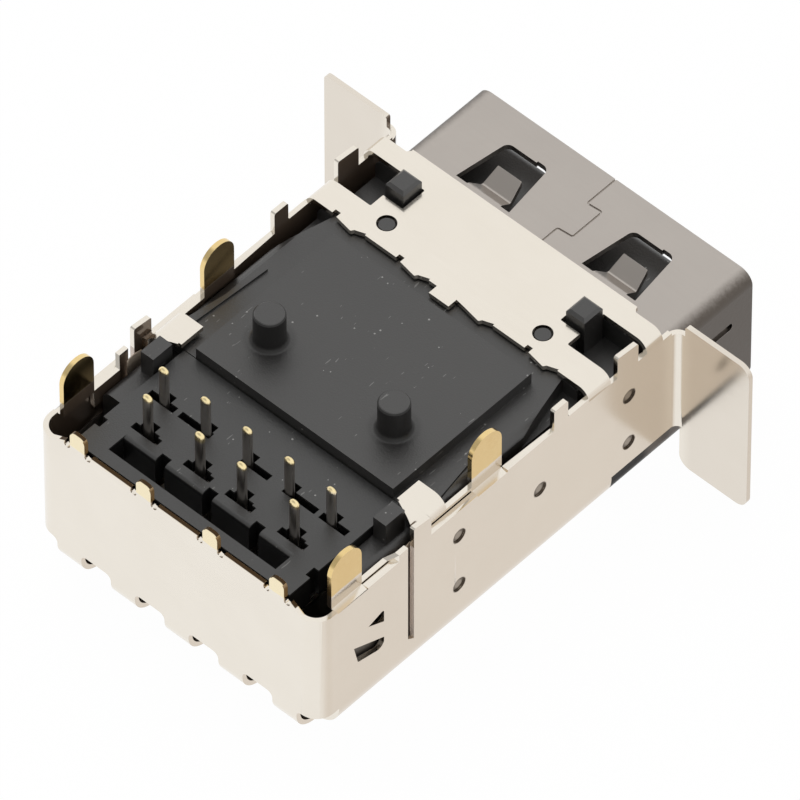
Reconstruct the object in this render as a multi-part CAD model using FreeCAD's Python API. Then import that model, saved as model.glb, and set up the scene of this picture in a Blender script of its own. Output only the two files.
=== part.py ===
"""Board-mounted receptacle with nine contacts: a folded shield, a plug shell and a moulded insert.

The part stands as it is photographed, with its board side up. Lengths are millimetres.
It is drawn about a datum on the board: X runs across the part, Y runs towards the plug mouth
from the front row of contact tails, and Z = 0 is the pad that the board lies against.
The last step moves all pieces together so that the origin is the middle of the footprint.
"""
import FreeCAD
import Part
import math
import os

Vector = FreeCAD.Vector

# Sheet metal and clearances
SHEET = 0.20                  # thickness of the outer shield
SHELL_SHEET = 0.25            # thickness of the plug shell
FIT = 0.03                    # gap round a contact, a plate or a boss in its seat

# Folded outer shield
SHIELD_REAR = -3.78           # outer face of the rear wall
SHIELD_UNDER = -7.43          # outer face of the sheet away from the board
UPRIGHT_BEND = 0.80           # outer radius of the two upright rear corners
SIDE_BEND = 1.28              # outer radius along the lower side edges
REAR_BEND = 0.98              # outer radius of the rear bridges
TRAY_START = -2.70            # where the lower sheet begins behind the bridges
TRAY_END = 11.45
NOTCH_TOP = -6.12             # lower edge of the rear wall between its bridges
FRONT_SKIRT = -5.98           # lower edge of the side walls ahead of the lower sheet
CORNER_TOP = -0.76
BRIDGE_COUNT = 5
BRIDGE_PITCH = 2.59
BRIDGE_WIDTH = 1.16
BRIDGE_ROUND = 0.26           # round the upper corners of the openings between bridges

# Rear wall edge with its four small tabs
REAR_TOP = -0.40
REAR_TAB_TOP = 0.32
REAR_TAB_WIDTH = 0.70
REAR_TAB_ROUND = 0.25
REAR_TAB_SHIFT = 0.08         # the row stands a little right of the middle
REAR_TAB_PITCH = 3.18
REAR_TAB_COUNT = 4
RELIEF_WIDTH = 0.28
RELIEF_FOOT = -0.62
RELIEF_ROUND = 0.12

# Side wall edge, from rear to front
JOG = 0.30                    # how far the tails' strip is set inwards
SLIT_REAR = -1.38
SLIT_FRONT = -0.92
STRIP_TOP = -0.58
SLIT_LAP = 0.25               # how far the strip runs down behind the wall's edge at each slit
JOG_TOP = -0.98
JOG_FOOT = -1.28
REAR_SLIT_END = 0.40
SLOT_Y = 0.98
SLOT_WIDTH = 0.26
SLOT_TOP = -5.47
SLOT_FOOT = -5.68
STAKE_TOP = 0.31              # small tabs that stand in the plane of the wall
STAKE_FALL = 0.11             # drop of their upper edge towards the mouth
STAKE_REAR = (1.16, 2.05)
STAKE_MID = (8.40, 9.12)
STAKE_FRONT = (11.70, 12.78)
FRONT_SLIT_END = 4.45
WALL_TOP = -0.48

# Shield tails
TAIL_WIDTH = 1.55
TAIL_TIP = 1.58
REAR_TAIL_START = -2.75
FRONT_TAIL_START = 4.45

# Straps folded over the insert
STRAP_REAR = (1.54, 2.00)     # at its fold and at its inner end
STRAP_FRONT = 3.18
STRAP_TOP = -0.13
STRAP_INNER = 5.16
STRAP_BEND = 0.62
STRAP_NOTCH = 0.12

# Strip across the board side, behind the mouth
BELT_TOP = -0.26
BELT_BEND = 0.50
BELT_FRONT = 14.30
BELT_FRONT_CORNER = 14.08
BELT_REAR = 10.22
BELT_TONGUE_REACH = 0.42      # how far the middle tab stands out
BELT_TONGUE_HALF = 0.47
EDGE_SHIFT = 0.89             # from the middle tab to the first lug on its right
EDGE_COUNT = 4                # lugs along the rear edge
EDGE_PITCH = 3.07
EDGE_NOTCH = (0.25, 0.18)     # width and depth of the square notch before each lug
EDGE_LUG = (0.80, 0.06, 0.20)  # length of a lug, and how far it stands out at its start and its end
EDGE_WAVE = (0.52, 0.08)      # length and depth of the hollow after each lug
BELT_STEP = (5.38, 0.12)      # where the front edge steps back at each end, and the length of the step
BELT_STEP_RISE = 0.08
BELT_HOLE_X = 3.74
BELT_HOLE_Y = 11.15
BELT_HOLE = 0.76              # diameter
WINDOW_INNER = 4.72
WINDOW_REAR = 11.36
WINDOW_FRONT = 13.25
WINDOW_FOOT = -0.78
HOOK_INNER = 3.78
HOOK_REAR = 12.02
HOOK_FRONT = 13.18
WINDOW_ROUND = 0.06

# Side wings that press on the panel
WING_BACK = 14.84             # rear face
WING_BEND = 0.30              # inner radius
WING_SPAN = 20.38
WING_INNER = 7.16
WING_LOW_INNER = 6.98
WING_TOP = -0.40
WING_FOOT = -8.01
WING_NECK_TOP = -0.90
WING_ROUND = 0.52
WING_TOP_ROUND = (0.22, 0.52)  # upper outer corner of the left and the right wing

# Marks on the side walls, as (Y, Z)
WELDS = ((12.33, -2.27), (12.34, -4.82), (7.69, -3.30), (3.49, -2.12), (3.50, -4.81))
WELD_SIZE = 0.62
WELD_DEPTH = 0.06
LATCH_REAR = -1.93
LATCH_FRONT = -0.38
LATCH_TOP = -2.70
LATCH_BAND_REAR = (-2.95, -3.50)
LATCH_BAND_FRONT = (-3.36, -4.21)
LATCH_FOOT = -4.76
LATCH_LIP = 0.30
LATCH_SKEW = (0.75, 0.20, 0.35)  # how far the rear corners of the two openings lie from its rear line
LATCH_INSET = 0.15

# Plug shell
MOUTH_WIDTH = 12.60           # opening for the plug, which the shield's width follows
MOUTH_HEIGHT = 5.12
SHELL_TOP = -1.73             # outer face on the board side
SHELL_FRONT = 19.10
SHELL_GAP = 0.05              # between the shell and the side walls
SHELL_BEND = 0.58             # outer radius
SHELL_ROOF_REAR = 7.30
SHELL_FLOOR_REAR = 11.60
ARM_REAR = 3.00
ARM_FOOT = -5.90
ARM_TOP = -2.40
SEAM_GAP = 0.07
SEAM_DEPTH = 0.06
SEAM_SKEW = 0.06
SEAM_ROUND = 0.09
SEAM_STEP = 0.67
SEAM_FRONT = 17.58
SEAM_REAR = 16.02
PORT_X = 3.02                 # middle of each spring window
PORT_REAR = 15.38
PORT_FRONT = 17.76
PORT_REAR_HALF = 1.28
PORT_FRONT_HALF = 0.95
PORT_ROUND = 0.30
PORT_STEP = (0.42, 0.08)      # where the front edge steps forward, right of the middle, and how far
SPRING_SHIFT = 0.05           # middle of the tongue, right of the window's middle
SPRING_WIDTH = (1.62, 1.36, 1.12)  # at its root, its crest and its tip
SPRING_CREST = (0.65, 0.58)   # how far the crest lies ahead of the root and below the face
SPRING_END = (1.46, 0.03)     # the same for the tip
SPRING_BEND = 0.24
SIDE_SLIT = (16.95, 18.05)
SIDE_SLIT_Z = -3.60
SIDE_SLIT_HIGH = 0.33
SIDE_SLIT_ROUND = 0.14

# Moulded insert
PAD_SIDES = (-4.60, 4.84)
PAD_REAR = 2.20
PAD_FRONT = 9.36
PLATE_TOP = -0.53             # moulded face round the pad
BODY_FRONT = 14.05
BODY_GAP = 0.36               # between the moulded body and the side walls
BASE_FACE = 7.20              # floor of the plug cavity
TONGUE_TOP = -2.70
TONGUE_THICK = 1.84
TONGUE_HALF = 5.55
TONGUE_FRONT = 18.36
TONGUE_BEVEL = 0.30
PEG_X = 2.98
PEG_Y = 4.27
PEG_SIZE = 1.20
PEG_HEIGHT = 1.42
PEG_BEVEL = 0.08
PEG_FLARE = 0.20              # radius of the hollow round its foot
RAIL_TOP = -0.95
RAIL_WIDE = 1.04
RAIL_ROUND = 0.40
RAIL_REAR = -0.85
RAIL_FOOT = -3.60
RIDGE_WIDE = (5.73, 6.08)     # low ridge on each shoulder: its two edges at the strap
RIDGE_END = (5.48, 6.85)      # where it runs out, across and along the part
RIDGE_HIGH = 0.10
CORNER_CUT = (0.74, 2.90)     # slant that takes off each shoulder's front corner, across and along
CORNER_FOOT = -1.20
BLOCK_INSET = 0.38            # from the body's side to a stop block
BLOCK_WIDE = 0.60
BLOCK_REAR = 0.72
BLOCK_FRONT = 1.70
BLOCK_TOP = 0.12
HOOK_TOP = 0.27
HOOK_GAP = (0.11, 0.17)       # from the strip's notch, across and along the part
HOOK_SIZE = 0.88
HOOK_LENGTH = 0.96
HOOK_BEVEL = 0.12
BOSS_SIZE = 0.60
BOSS_DROP = 0.06              # boss end below the strip's outer face
SHELF_TOP = -1.50             # insert below the strip's windows
SHELF_REACH = 0.30            # how far the sunk shelf runs in under the strip

# Tail guide
GUIDE_GAP = 0.05              # between the guide and each side rail
GUIDE_REAR = -3.45
GUIDE_THICK = 1.30
COMB_HALF = 4.00
COMB_REAR = -2.92
COMB_FRONT = -2.17
COMB_ROUND = 0.20             # round the upper edge of its teeth
COMB_NOTCH = 0.45
COMB_NOTCH_DEEP = 0.40
COMB_NOTCH_PITCH = 2.25
COMB_NOTCH_COUNT = 3
SIDE_NOTCH = 0.22

# Contacts
ROW_GAP = 1.36                # between the two rows of tails
ROW_Y = (-0.05, -0.05 - ROW_GAP)
FRONT_ROW_X = (-4.0, -2.0, 0.0, 2.0, 4.0)
REAR_ROW_X = (-3.5, -1.0, 1.0, 3.5)
FRONT_TAIL_TIP = 1.37
REAR_TAIL_TIP = 1.48
TAIL_WIDE = 0.44
TAIL_THICK = 0.24
TAIL_BEVEL = 0.12
SHOULDER_WIDE = 0.80
SHOULDER_FOOT = -2.20
SHOULDER_TOP = -1.00
LEAD_WIDE = 0.40
LEAD_BEND = 0.40              # inner radius of the turn up to the board
PAD_WIDE = 1.00
PAD_LENGTH = 3.30
PAD_END = 17.80
BUMP_Y = 13.30
BUMP_DROP = 0.28
BUMP_SPAN = 1.90
LAYER_GAP = 0.42              # between the two layers of leads in the tongue
T_SLOT = (1.26, 0.30)
T_SHIFT = (0.0, -0.10)        # of the T slots behind each row
SQUARE_HOLE = 0.34
SLOT_SHIFT = (-0.10, -0.62, 0.42, 0.66, 0.12)

SHELL_HALF = MOUTH_WIDTH / 2 + SHELL_SHEET
HALF = SHELL_HALF + SHELL_GAP + SHEET
MID_SHEET = HALF - SHEET / 2
JOG_OUT = HALF - JOG
JOG_IN = JOG_OUT - SHEET
SHELL_UNDER = SHELL_TOP - MOUTH_HEIGHT - 2 * SHELL_SHEET
BODY_HALF = HALF - SHEET - BODY_GAP
RAIL_INNER = BODY_HALF - RAIL_WIDE
BELT_TONGUE = BELT_REAR - BELT_TONGUE_REACH
TONGUE_UNDER = TONGUE_TOP - TONGUE_THICK
LEAD_Z = (TONGUE_UNDER + TAIL_THICK / 2 + LAYER_GAP + TAIL_THICK, TONGUE_UNDER + TAIL_THICK / 2)
ORIGIN = Vector(0, -(SHIELD_REAR + SHELL_FRONT) / 2, -min(WING_FOOT, SHIELD_UNDER))
FAR = 40.0                    # longer than the part, for cuts that run right through
PAST = 1.0                    # how far a cutting shape runs past what it cuts


def place(axis, u, v, w):
    """Point from two in-plane coordinates and one along the axis: x takes (y, z), y (x, z), z (x, y)."""
    return {"x": Vector(w, u, v), "y": Vector(u, w, v), "z": Vector(u, v, w)}[axis]


def outline(corners, axis, at):
    """Closed wire through corners (u, v), or (u, v, r) where an arc of radius r rounds the corner."""
    count = len(corners)
    joints = []
    for i, corner in enumerate(corners):
        here = Vector(corner[0], corner[1], 0)
        radius = corner[2] if len(corner) > 2 else 0.0
        before = Vector(corners[i - 1][0], corners[i - 1][1], 0) - here
        after = Vector(corners[(i + 1) % count][0], corners[(i + 1) % count][1], 0) - here
        if radius <= 0:
            joints.append((here, here, here))
            continue
        half_angle = before.getAngle(after) / 2
        before.normalize()
        after.normalize()
        reach = radius / math.tan(half_angle)
        inward = before + after
        inward.normalize()
        crown = here + inward * (radius / math.sin(half_angle) - radius)
        joints.append((here + before * reach, crown, here + after * reach))
    edges = []
    for i, (start, crown, end) in enumerate(joints):
        follow = joints[(i + 1) % count][0]
        points = [place(axis, p.x, p.y, at) for p in (start, crown, end, follow)]
        if start.distanceToPoint(end) > 1e-6:
            edges.append(Part.Arc(points[0], points[1], points[2]).toShape())
        if end.distanceToPoint(follow) > 1e-6:
            edges.append(Part.LineSegment(points[2], points[3]).toShape())
    return Part.Wire(edges)


def slab(corners, axis, low, high):
    """Solid that the outline sweeps along the axis from low to high."""
    face = Part.Face(outline(corners, axis, low))
    return face.extrude(place(axis, 0, 0, high - low))


def block(x0, x1, y0, y1, z0, z1):
    return Part.makeBox(x1 - x0, y1 - y0, z1 - z0, Vector(x0, y0, z0))


def ribbon(path, thick, axis, low, high):
    """Bent sheet: a middle line of points (u, v) or (u, v, bend) with a thickness, swept along the axis."""
    sides = ([], [])
    last = len(path) - 1
    for i, point in enumerate(path):
        here = Vector(point[0], point[1], 0)
        bend = point[2] if len(point) > 2 else 0.0
        into = (here - Vector(*path[i - 1][:2], 0)) if i > 0 else (Vector(*path[1][:2], 0) - here)
        out = (Vector(*path[i + 1][:2], 0) - here) if i < last else into
        into = Vector(into).normalize()
        out = Vector(out).normalize()
        turn = into.x * out.y - into.y * out.x
        normal = Vector(-into.y - out.y, into.x + out.x, 0).normalize()
        reach = thick / 2 / math.sqrt((1 + into.dot(out)) / 2)
        for side, sign in zip(sides, (1, -1)):
            corner = here + normal * (reach * sign)
            radius = bend - sign * math.copysign(thick / 2, turn) if bend > 0 else 0.0
            side.append((corner.x, corner.y, radius))
    return slab(sides[0] + sides[1][::-1], axis, low, high)


def mirror(shape):
    return shape.mirror(Vector(0, 0, 0), Vector(1, 0, 0))


def pair(shape):
    """The shape and its mirror image on the other side of the part."""
    return [shape, mirror(shape)]


def join(shapes):
    joined = shapes[0].multiFuse(shapes[1:]).removeSplitter()
    return joined


def rear_wall():
    """Rear wall with its four rounded tabs, their relief pits, and the upright corners."""
    edge = HALF - UPRIGHT_BEND
    first = REAR_TAB_SHIFT - (REAR_TAB_COUNT - 1) / 2 * REAR_TAB_PITCH
    top = [(-edge, NOTCH_TOP), (-edge, CORNER_TOP)]
    for i in range(REAR_TAB_COUNT):
        middle = first + i * REAR_TAB_PITCH
        for side in (-1, 1):
            foot = middle + side * REAR_TAB_WIDTH / 2
            pit = foot + side * RELIEF_WIDTH
            spots = [(pit, REAR_TOP), (pit, RELIEF_FOOT, RELIEF_ROUND), (foot, RELIEF_FOOT, RELIEF_ROUND),
                     (foot, REAR_TAB_TOP, REAR_TAB_ROUND)]
            top += spots if side < 0 else spots[::-1]
    top += [(edge, CORNER_TOP), (edge, NOTCH_TOP)]
    line = SHIELD_UNDER + REAR_BEND
    for i in range(BRIDGE_COUNT):
        middle = ((BRIDGE_COUNT - 1) / 2 - i) * BRIDGE_PITCH
        right = middle + BRIDGE_WIDTH / 2
        left = middle - BRIDGE_WIDTH / 2
        top += [(right, NOTCH_TOP, BRIDGE_ROUND), (right, line), (left, line),
                (left, NOTCH_TOP, BRIDGE_ROUND)]
    panel = slab(top, "y", SHIELD_REAR, SHIELD_REAR + SHEET)
    back = SHIELD_REAR + SHEET / 2
    bend = UPRIGHT_BEND - SHEET / 2
    corners = ribbon([(-MID_SHEET, SHIELD_REAR + UPRIGHT_BEND), (-MID_SHEET, back, bend), (-edge, back)],
                     SHEET, "z", NOTCH_TOP, CORNER_TOP)
    return [panel] + pair(corners)


def tray():
    """Sheet away from the board with its long side bends, and the bridges that tie it to the rear wall."""
    under = SHIELD_UNDER + SHEET / 2
    rise = SHIELD_UNDER + SIDE_BEND
    bend = SIDE_BEND - SHEET / 2
    sheet = ribbon([(-MID_SHEET, rise), (-MID_SHEET, under, bend), (MID_SHEET, under, bend),
                    (MID_SHEET, rise)], SHEET, "y", TRAY_START, TRAY_END)
    back = SHIELD_REAR + SHEET / 2
    bridges = []
    for i in range(BRIDGE_COUNT):
        middle = (i - (BRIDGE_COUNT - 1) / 2) * BRIDGE_PITCH
        path = [(back, SHIELD_UNDER + REAR_BEND), (back, under, REAR_BEND - SHEET / 2), (TRAY_START, under)]
        bridges.append(ribbon(path, SHEET, "x", middle - BRIDGE_WIDTH / 2, middle + BRIDGE_WIDTH / 2))
    return [sheet] + bridges


def side_wall():
    """Right side wall in its own plane, with its slot, its three stakes and the foot of the strip."""
    rear = SHIELD_REAR + UPRIGHT_BEND
    bend_line = SHIELD_UNDER + SIDE_BEND
    belt_line = BELT_TOP - BELT_BEND
    front = WING_BACK - WING_BEND
    tail_end = REAR_TAIL_START + TAIL_WIDTH
    front_tail_end = FRONT_TAIL_START + TAIL_WIDTH
    edge = [
        (rear, NOTCH_TOP), (rear, CORNER_TOP), (REAR_TAIL_START, CORNER_TOP), (REAR_TAIL_START, JOG_FOOT),
        (tail_end, JOG_FOOT), (tail_end, SLIT_REAR), (REAR_SLIT_END, SLIT_REAR),
        (REAR_SLIT_END, STRIP_TOP), (STAKE_REAR[0], STRIP_TOP),
        (STAKE_REAR[0], STAKE_TOP, SHEET / 2), (STAKE_REAR[1], STAKE_TOP - STAKE_FALL, SHEET / 2),
        (STAKE_REAR[1], SLIT_FRONT), (FRONT_SLIT_END, SLIT_FRONT), (FRONT_SLIT_END, JOG_FOOT),
        (front_tail_end, JOG_FOOT), (front_tail_end, WALL_TOP), (STAKE_MID[0], WALL_TOP),
        (STAKE_MID[0], STAKE_TOP, SHEET / 2), (STAKE_MID[1], STAKE_TOP, SHEET / 2),
        (STAKE_MID[1], STRIP_TOP, SHEET / 2), (BELT_REAR, STRIP_TOP),
        (BELT_REAR, belt_line), (STAKE_FRONT[0], belt_line), (STAKE_FRONT[0], STAKE_TOP, SHEET / 2),
        (STAKE_FRONT[1], STAKE_TOP - STAKE_FALL, SHEET / 2),
        (STAKE_FRONT[1], belt_line), (front, belt_line), (front, FRONT_SKIRT),
        (TRAY_END, FRONT_SKIRT), (TRAY_END, bend_line), (TRAY_START, bend_line), (TRAY_START, NOTCH_TOP),
    ]
    wall = slab(edge, "x", HALF - SHEET, HALF)
    slot = slab([(SLOT_Y - SLOT_WIDTH / 2, 0), (STAKE_REAR[0], 0), (STAKE_REAR[0], SLOT_FOOT),
                 (SLOT_Y - SLOT_WIDTH / 2, SLOT_TOP)], "x", JOG_IN - SHEET, HALF + SHEET)
    return wall.cut(slot)


def jogged_strip():
    """Upper strip of the right wall, set in by the jog: two tails, their slanted feet, the slit edges."""
    shapes = []
    for start, slit_end, slit in ((REAR_TAIL_START, REAR_SLIT_END - JOG, SLIT_REAR),
                                  (FRONT_TAIL_START, STAKE_REAR[1], SLIT_FRONT)):
        end = start + TAIL_WIDTH
        round_tip = 0.98 * TAIL_WIDTH / 2
        shapes.append(slab([(start, JOG_TOP), (start, TAIL_TIP, round_tip), (end, TAIL_TIP, round_tip),
                            (end, JOG_TOP)], "x", JOG_IN, JOG_OUT))
        near, far = (end, slit_end) if slit_end > end else (slit_end, start)
        low = slit - SLIT_LAP
        shapes.append(slab([(near, low), (near, STRIP_TOP), (far, STRIP_TOP), (far, low)],
                           "x", JOG_IN, JOG_OUT))
    feet = [(JOG_IN, JOG_TOP), (JOG_OUT, JOG_TOP), (HALF, JOG_FOOT), (HALF - SHEET, JOG_FOOT)]
    for low, high in ((REAR_TAIL_START, REAR_TAIL_START + TAIL_WIDTH),
                      (FRONT_TAIL_START, FRONT_TAIL_START + TAIL_WIDTH)):
        shapes.append(slab(feet, "y", low, high))
    link = slab([(JOG_IN, REAR_SLIT_END - JOG), (JOG_OUT, REAR_SLIT_END - JOG), (HALF, REAR_SLIT_END),
                 (HALF - SHEET, REAR_SLIT_END)], "z", SLIT_REAR, STRIP_TOP)
    return shapes + [link]


def strap():
    """Flap on the front strip, folded over the insert, with a slanted rear edge and a notched corner."""
    jog_mid = (JOG_IN + JOG_OUT) / 2
    top = STRAP_TOP - SHEET / 2
    flap = ribbon([(jog_mid, SLIT_FRONT), (jog_mid, top, STRAP_BEND - SHEET / 2), (STRAP_INNER, top)],
                  SHEET, "y", STRAP_REAR[0], STRAP_FRONT)
    rear, inner_rear = STRAP_REAR
    corner = STRAP_INNER + STRAP_NOTCH
    past = STRAP_INNER - PAST
    slant = slab([(HALF, rear - PAST), (HALF, rear), (JOG_IN, rear), (corner, inner_rear),
                  (corner, inner_rear + STRAP_NOTCH / 2), (past, inner_rear + STRAP_NOTCH / 2),
                  (past, rear - PAST)], "z", SLIT_FRONT - PAST, STRAP_TOP + PAST)
    link = slab([(JOG_IN, SLIT_FRONT), (JOG_OUT, SLIT_FRONT), (HALF, SLIT_FRONT),
                 (HALF, SLIT_FRONT + SHEET), (JOG_OUT, STRIP_TOP + SHEET), (JOG_IN, STRIP_TOP + SHEET)],
                "y", STRAP_REAR[0], STAKE_REAR[1])
    return [flap.cut(slant), link]


def belt_edge():
    """Rear edge of the strip from left to right: notch, lug and hollow, repeated, and the middle tab."""
    line = []
    first = EDGE_SHIFT - EDGE_COUNT / 2 * EDGE_PITCH
    for i in range(EDGE_COUNT):
        start = first + i * EDGE_PITCH
        end = start + EDGE_LUG[0]
        if i == EDGE_COUNT // 2:
            line += [(-BELT_TONGUE_HALF, BELT_REAR), (-BELT_TONGUE_HALF, BELT_TONGUE),
                     (BELT_TONGUE_HALF, BELT_TONGUE), (BELT_TONGUE_HALF, BELT_REAR)]
        else:
            line += [(start - EDGE_NOTCH[0], BELT_REAR), (start - EDGE_NOTCH[0], BELT_REAR + EDGE_NOTCH[1]),
                     (start, BELT_REAR + EDGE_NOTCH[1])]
        line += [(start, BELT_REAR - EDGE_LUG[1]), (end, BELT_REAR - EDGE_LUG[2], SHEET / 4),
                 (end + EDGE_WAVE[1], BELT_REAR - EDGE_WAVE[1]),
                 (end + EDGE_WAVE[0], BELT_REAR + EDGE_WAVE[1]), (end + EDGE_WAVE[0], BELT_REAR)]
    return line


def belt():
    """Strip across the board side: bent over both side walls, with its edge pattern, windows and holes."""
    top = BELT_TOP - SHEET / 2
    line = BELT_TOP - BELT_BEND
    bend = BELT_BEND - SHEET / 2
    strip = ribbon([(-MID_SHEET, line), (-MID_SHEET, top, bend), (MID_SHEET, top, bend), (MID_SHEET, line)],
                   SHEET, "y", BELT_TONGUE, BELT_FRONT)
    rear = slab([(-FAR, BELT_REAR), *belt_edge(), (FAR, BELT_REAR), (FAR, -FAR), (-FAR, -FAR)],
                "z", line - PAST, BELT_TOP + PAST)
    window = slab([(HOOK_INNER, HOOK_REAR, WINDOW_ROUND), (HOOK_INNER, HOOK_FRONT, WINDOW_ROUND),
                   (WINDOW_INNER, HOOK_FRONT), (WINDOW_INNER, WINDOW_FRONT), (FAR, WINDOW_FRONT),
                   (FAR, WINDOW_REAR), (WINDOW_INNER, WINDOW_REAR, WINDOW_ROUND),
                   (WINDOW_INNER, HOOK_REAR)],
                  "z", WINDOW_FOOT, BELT_TOP + PAST)
    hole = Part.makeCylinder(BELT_HOLE / 2, 2 * PAST, Vector(BELT_HOLE_X, BELT_HOLE_Y, BELT_TOP - PAST))
    step, run = BELT_STEP
    corner = slab([(step, BELT_FRONT - BELT_STEP_RISE), (step + run, BELT_FRONT_CORNER),
                   (FAR, BELT_FRONT_CORNER), (FAR, FAR), (step, FAR)], "z", line - PAST, BELT_TOP + PAST)
    return strip.cut([rear] + pair(window) + pair(hole) + pair(corner))


def wing(top_round):
    """Right wing: the side wall turned outwards, with its rounded plate."""
    face = WING_BACK + SHEET / 2
    neck = ribbon([(MID_SHEET, WING_BACK - WING_BEND - SHEET), (MID_SHEET, face, WING_BEND + SHEET / 2),
                   (WING_INNER + WING_ROUND, face)], SHEET, "z", FRONT_SKIRT, WING_NECK_TOP)
    tip = WING_SPAN / 2
    plate = slab([(WING_INNER, WING_TOP, SHEET / 2), (tip, WING_TOP, top_round),
                  (tip, WING_FOOT, WING_ROUND), (WING_LOW_INNER, WING_FOOT, WING_ROUND),
                  (WING_LOW_INNER, FRONT_SKIRT), (WING_INNER, FRONT_SKIRT)],
                 "y", WING_BACK, WING_BACK + SHEET)
    return [neck, plate]


def weld_pits():
    return [Part.makeCylinder(WELD_SIZE / 2, SHEET, Vector(HALF - WELD_DEPTH, y, z), Vector(1, 0, 0))
            for y, z in WELDS]


def latch_cuts():
    """Pierced latch in the right wall: a triangle above and a hollow below a slanting band."""
    upper = [(LATCH_FRONT, LATCH_TOP, SHEET / 2), (LATCH_FRONT, LATCH_BAND_FRONT[0]),
             (LATCH_REAR + LATCH_SKEW[0], LATCH_BAND_REAR[0])]
    lower = [(LATCH_FRONT, LATCH_BAND_FRONT[1]), (LATCH_FRONT, LATCH_FOOT, LATCH_LIP),
             (LATCH_REAR + LATCH_SKEW[1], LATCH_FOOT + LATCH_SKEW[2], SHEET / 2),
             (LATCH_REAR, LATCH_BAND_REAR[1])]
    return [slab(edge, "x", HALF - 2 * SHEET, HALF + SHEET) for edge in (upper, lower)]


def latch_lip():
    """Curled edge below the band of the latch, rolled into the hollow."""
    start = Vector(HALF - SHEET, LATCH_REAR + LATCH_INSET, LATCH_BAND_REAR[1])
    run = Vector(0, LATCH_FRONT - LATCH_REAR - LATCH_INSET, LATCH_BAND_FRONT[1] - LATCH_BAND_REAR[1])
    roll = Part.makeCylinder(LATCH_LIP / 2, run.Length, start, run)
    return roll.common(block(JOG_IN, HALF - WELD_DEPTH, LATCH_REAR, LATCH_FRONT, LATCH_FOOT, LATCH_TOP))


def outer_shield():
    """One folded sheet: rear wall, tray, side walls, jogged strips with tails, straps, strip and wings."""
    right = [side_wall()] + jogged_strip() + strap()
    left_round, right_round = WING_TOP_ROUND
    pieces = rear_wall() + tray() + [belt()] + wing(right_round)
    pieces += [mirror(piece) for piece in wing(left_round)]
    for piece in right:
        pieces += pair(piece)
    shield = join(pieces)
    cuts = []
    for cut in weld_pits() + latch_cuts():
        cuts += pair(cut)
    shield = shield.cut(cuts)
    return join([shield] + pair(latch_lip()))


def tube(half, top, under, rear, front, bend):
    corners = [(-half, under, bend), (-half, top, bend), (half, top, bend), (half, under, bend)]
    return slab(corners, "y", rear, front)


def port(window_x):
    """Cutter for one spring window, through both broad faces of the shell."""
    left = window_x - PORT_FRONT_HALF
    right = window_x + PORT_FRONT_HALF
    step = window_x + PORT_STEP[0]
    far = PORT_FRONT + PORT_STEP[1]
    return slab([(window_x - PORT_REAR_HALF, PORT_REAR), (window_x + PORT_REAR_HALF, PORT_REAR),
                 (right, far, PORT_ROUND), (step, far), (step, PORT_FRONT), (left, PORT_FRONT, PORT_ROUND)],
                "z", SHELL_UNDER - PAST, SHELL_TOP + PAST)


def spring(window_x):
    """Tongue cut from the shell face: it dips into the mouth to a crest and rises again to its tip."""
    middle_x = window_x + SPRING_SHIFT
    face = SHELL_TOP - SHELL_SHEET / 2
    crest_y = PORT_REAR + SPRING_CREST[0]
    tip_y = PORT_REAR + SPRING_END[0]
    path = [(PORT_REAR - SHELL_SHEET, face), (PORT_REAR, face, SPRING_BEND),
            (crest_y, face - SPRING_CREST[1], SPRING_BEND), (tip_y, face - SPRING_END[1])]
    root, middle, tip = [width / 2 for width in SPRING_WIDTH]
    leaf = ribbon(path, SHELL_SHEET, "x", middle_x - root, middle_x + root)
    right = [(middle_x + root, PORT_REAR - PAST), (middle_x + root, PORT_REAR),
             (middle_x + middle, crest_y), (middle_x + tip, tip_y, SHELL_SHEET / 2)]
    left = [(2 * middle_x - x, *rest) for x, *rest in right[::-1]]
    shape = slab(right + left, "z", SHELL_TOP - MOUTH_HEIGHT / 2, SHELL_TOP + PAST)
    return leaf.common(shape)


def seam():
    """Stepped butt joint of the shell's board-side face, as a thin cut."""
    line = [(0, SHELL_FRONT + PAST), (0, SEAM_FRONT, SEAM_ROUND),
            (SEAM_STEP, SEAM_FRONT + SEAM_SKEW, SEAM_ROUND),
            (SEAM_STEP, SEAM_REAR + SEAM_SKEW, SEAM_ROUND),
            (0, SEAM_REAR, SEAM_ROUND), (0, SHELL_ROOF_REAR - PAST)]
    return ribbon(line, SEAM_GAP, "z", SHELL_TOP - SEAM_DEPTH, SHELL_TOP + PAST)


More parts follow.
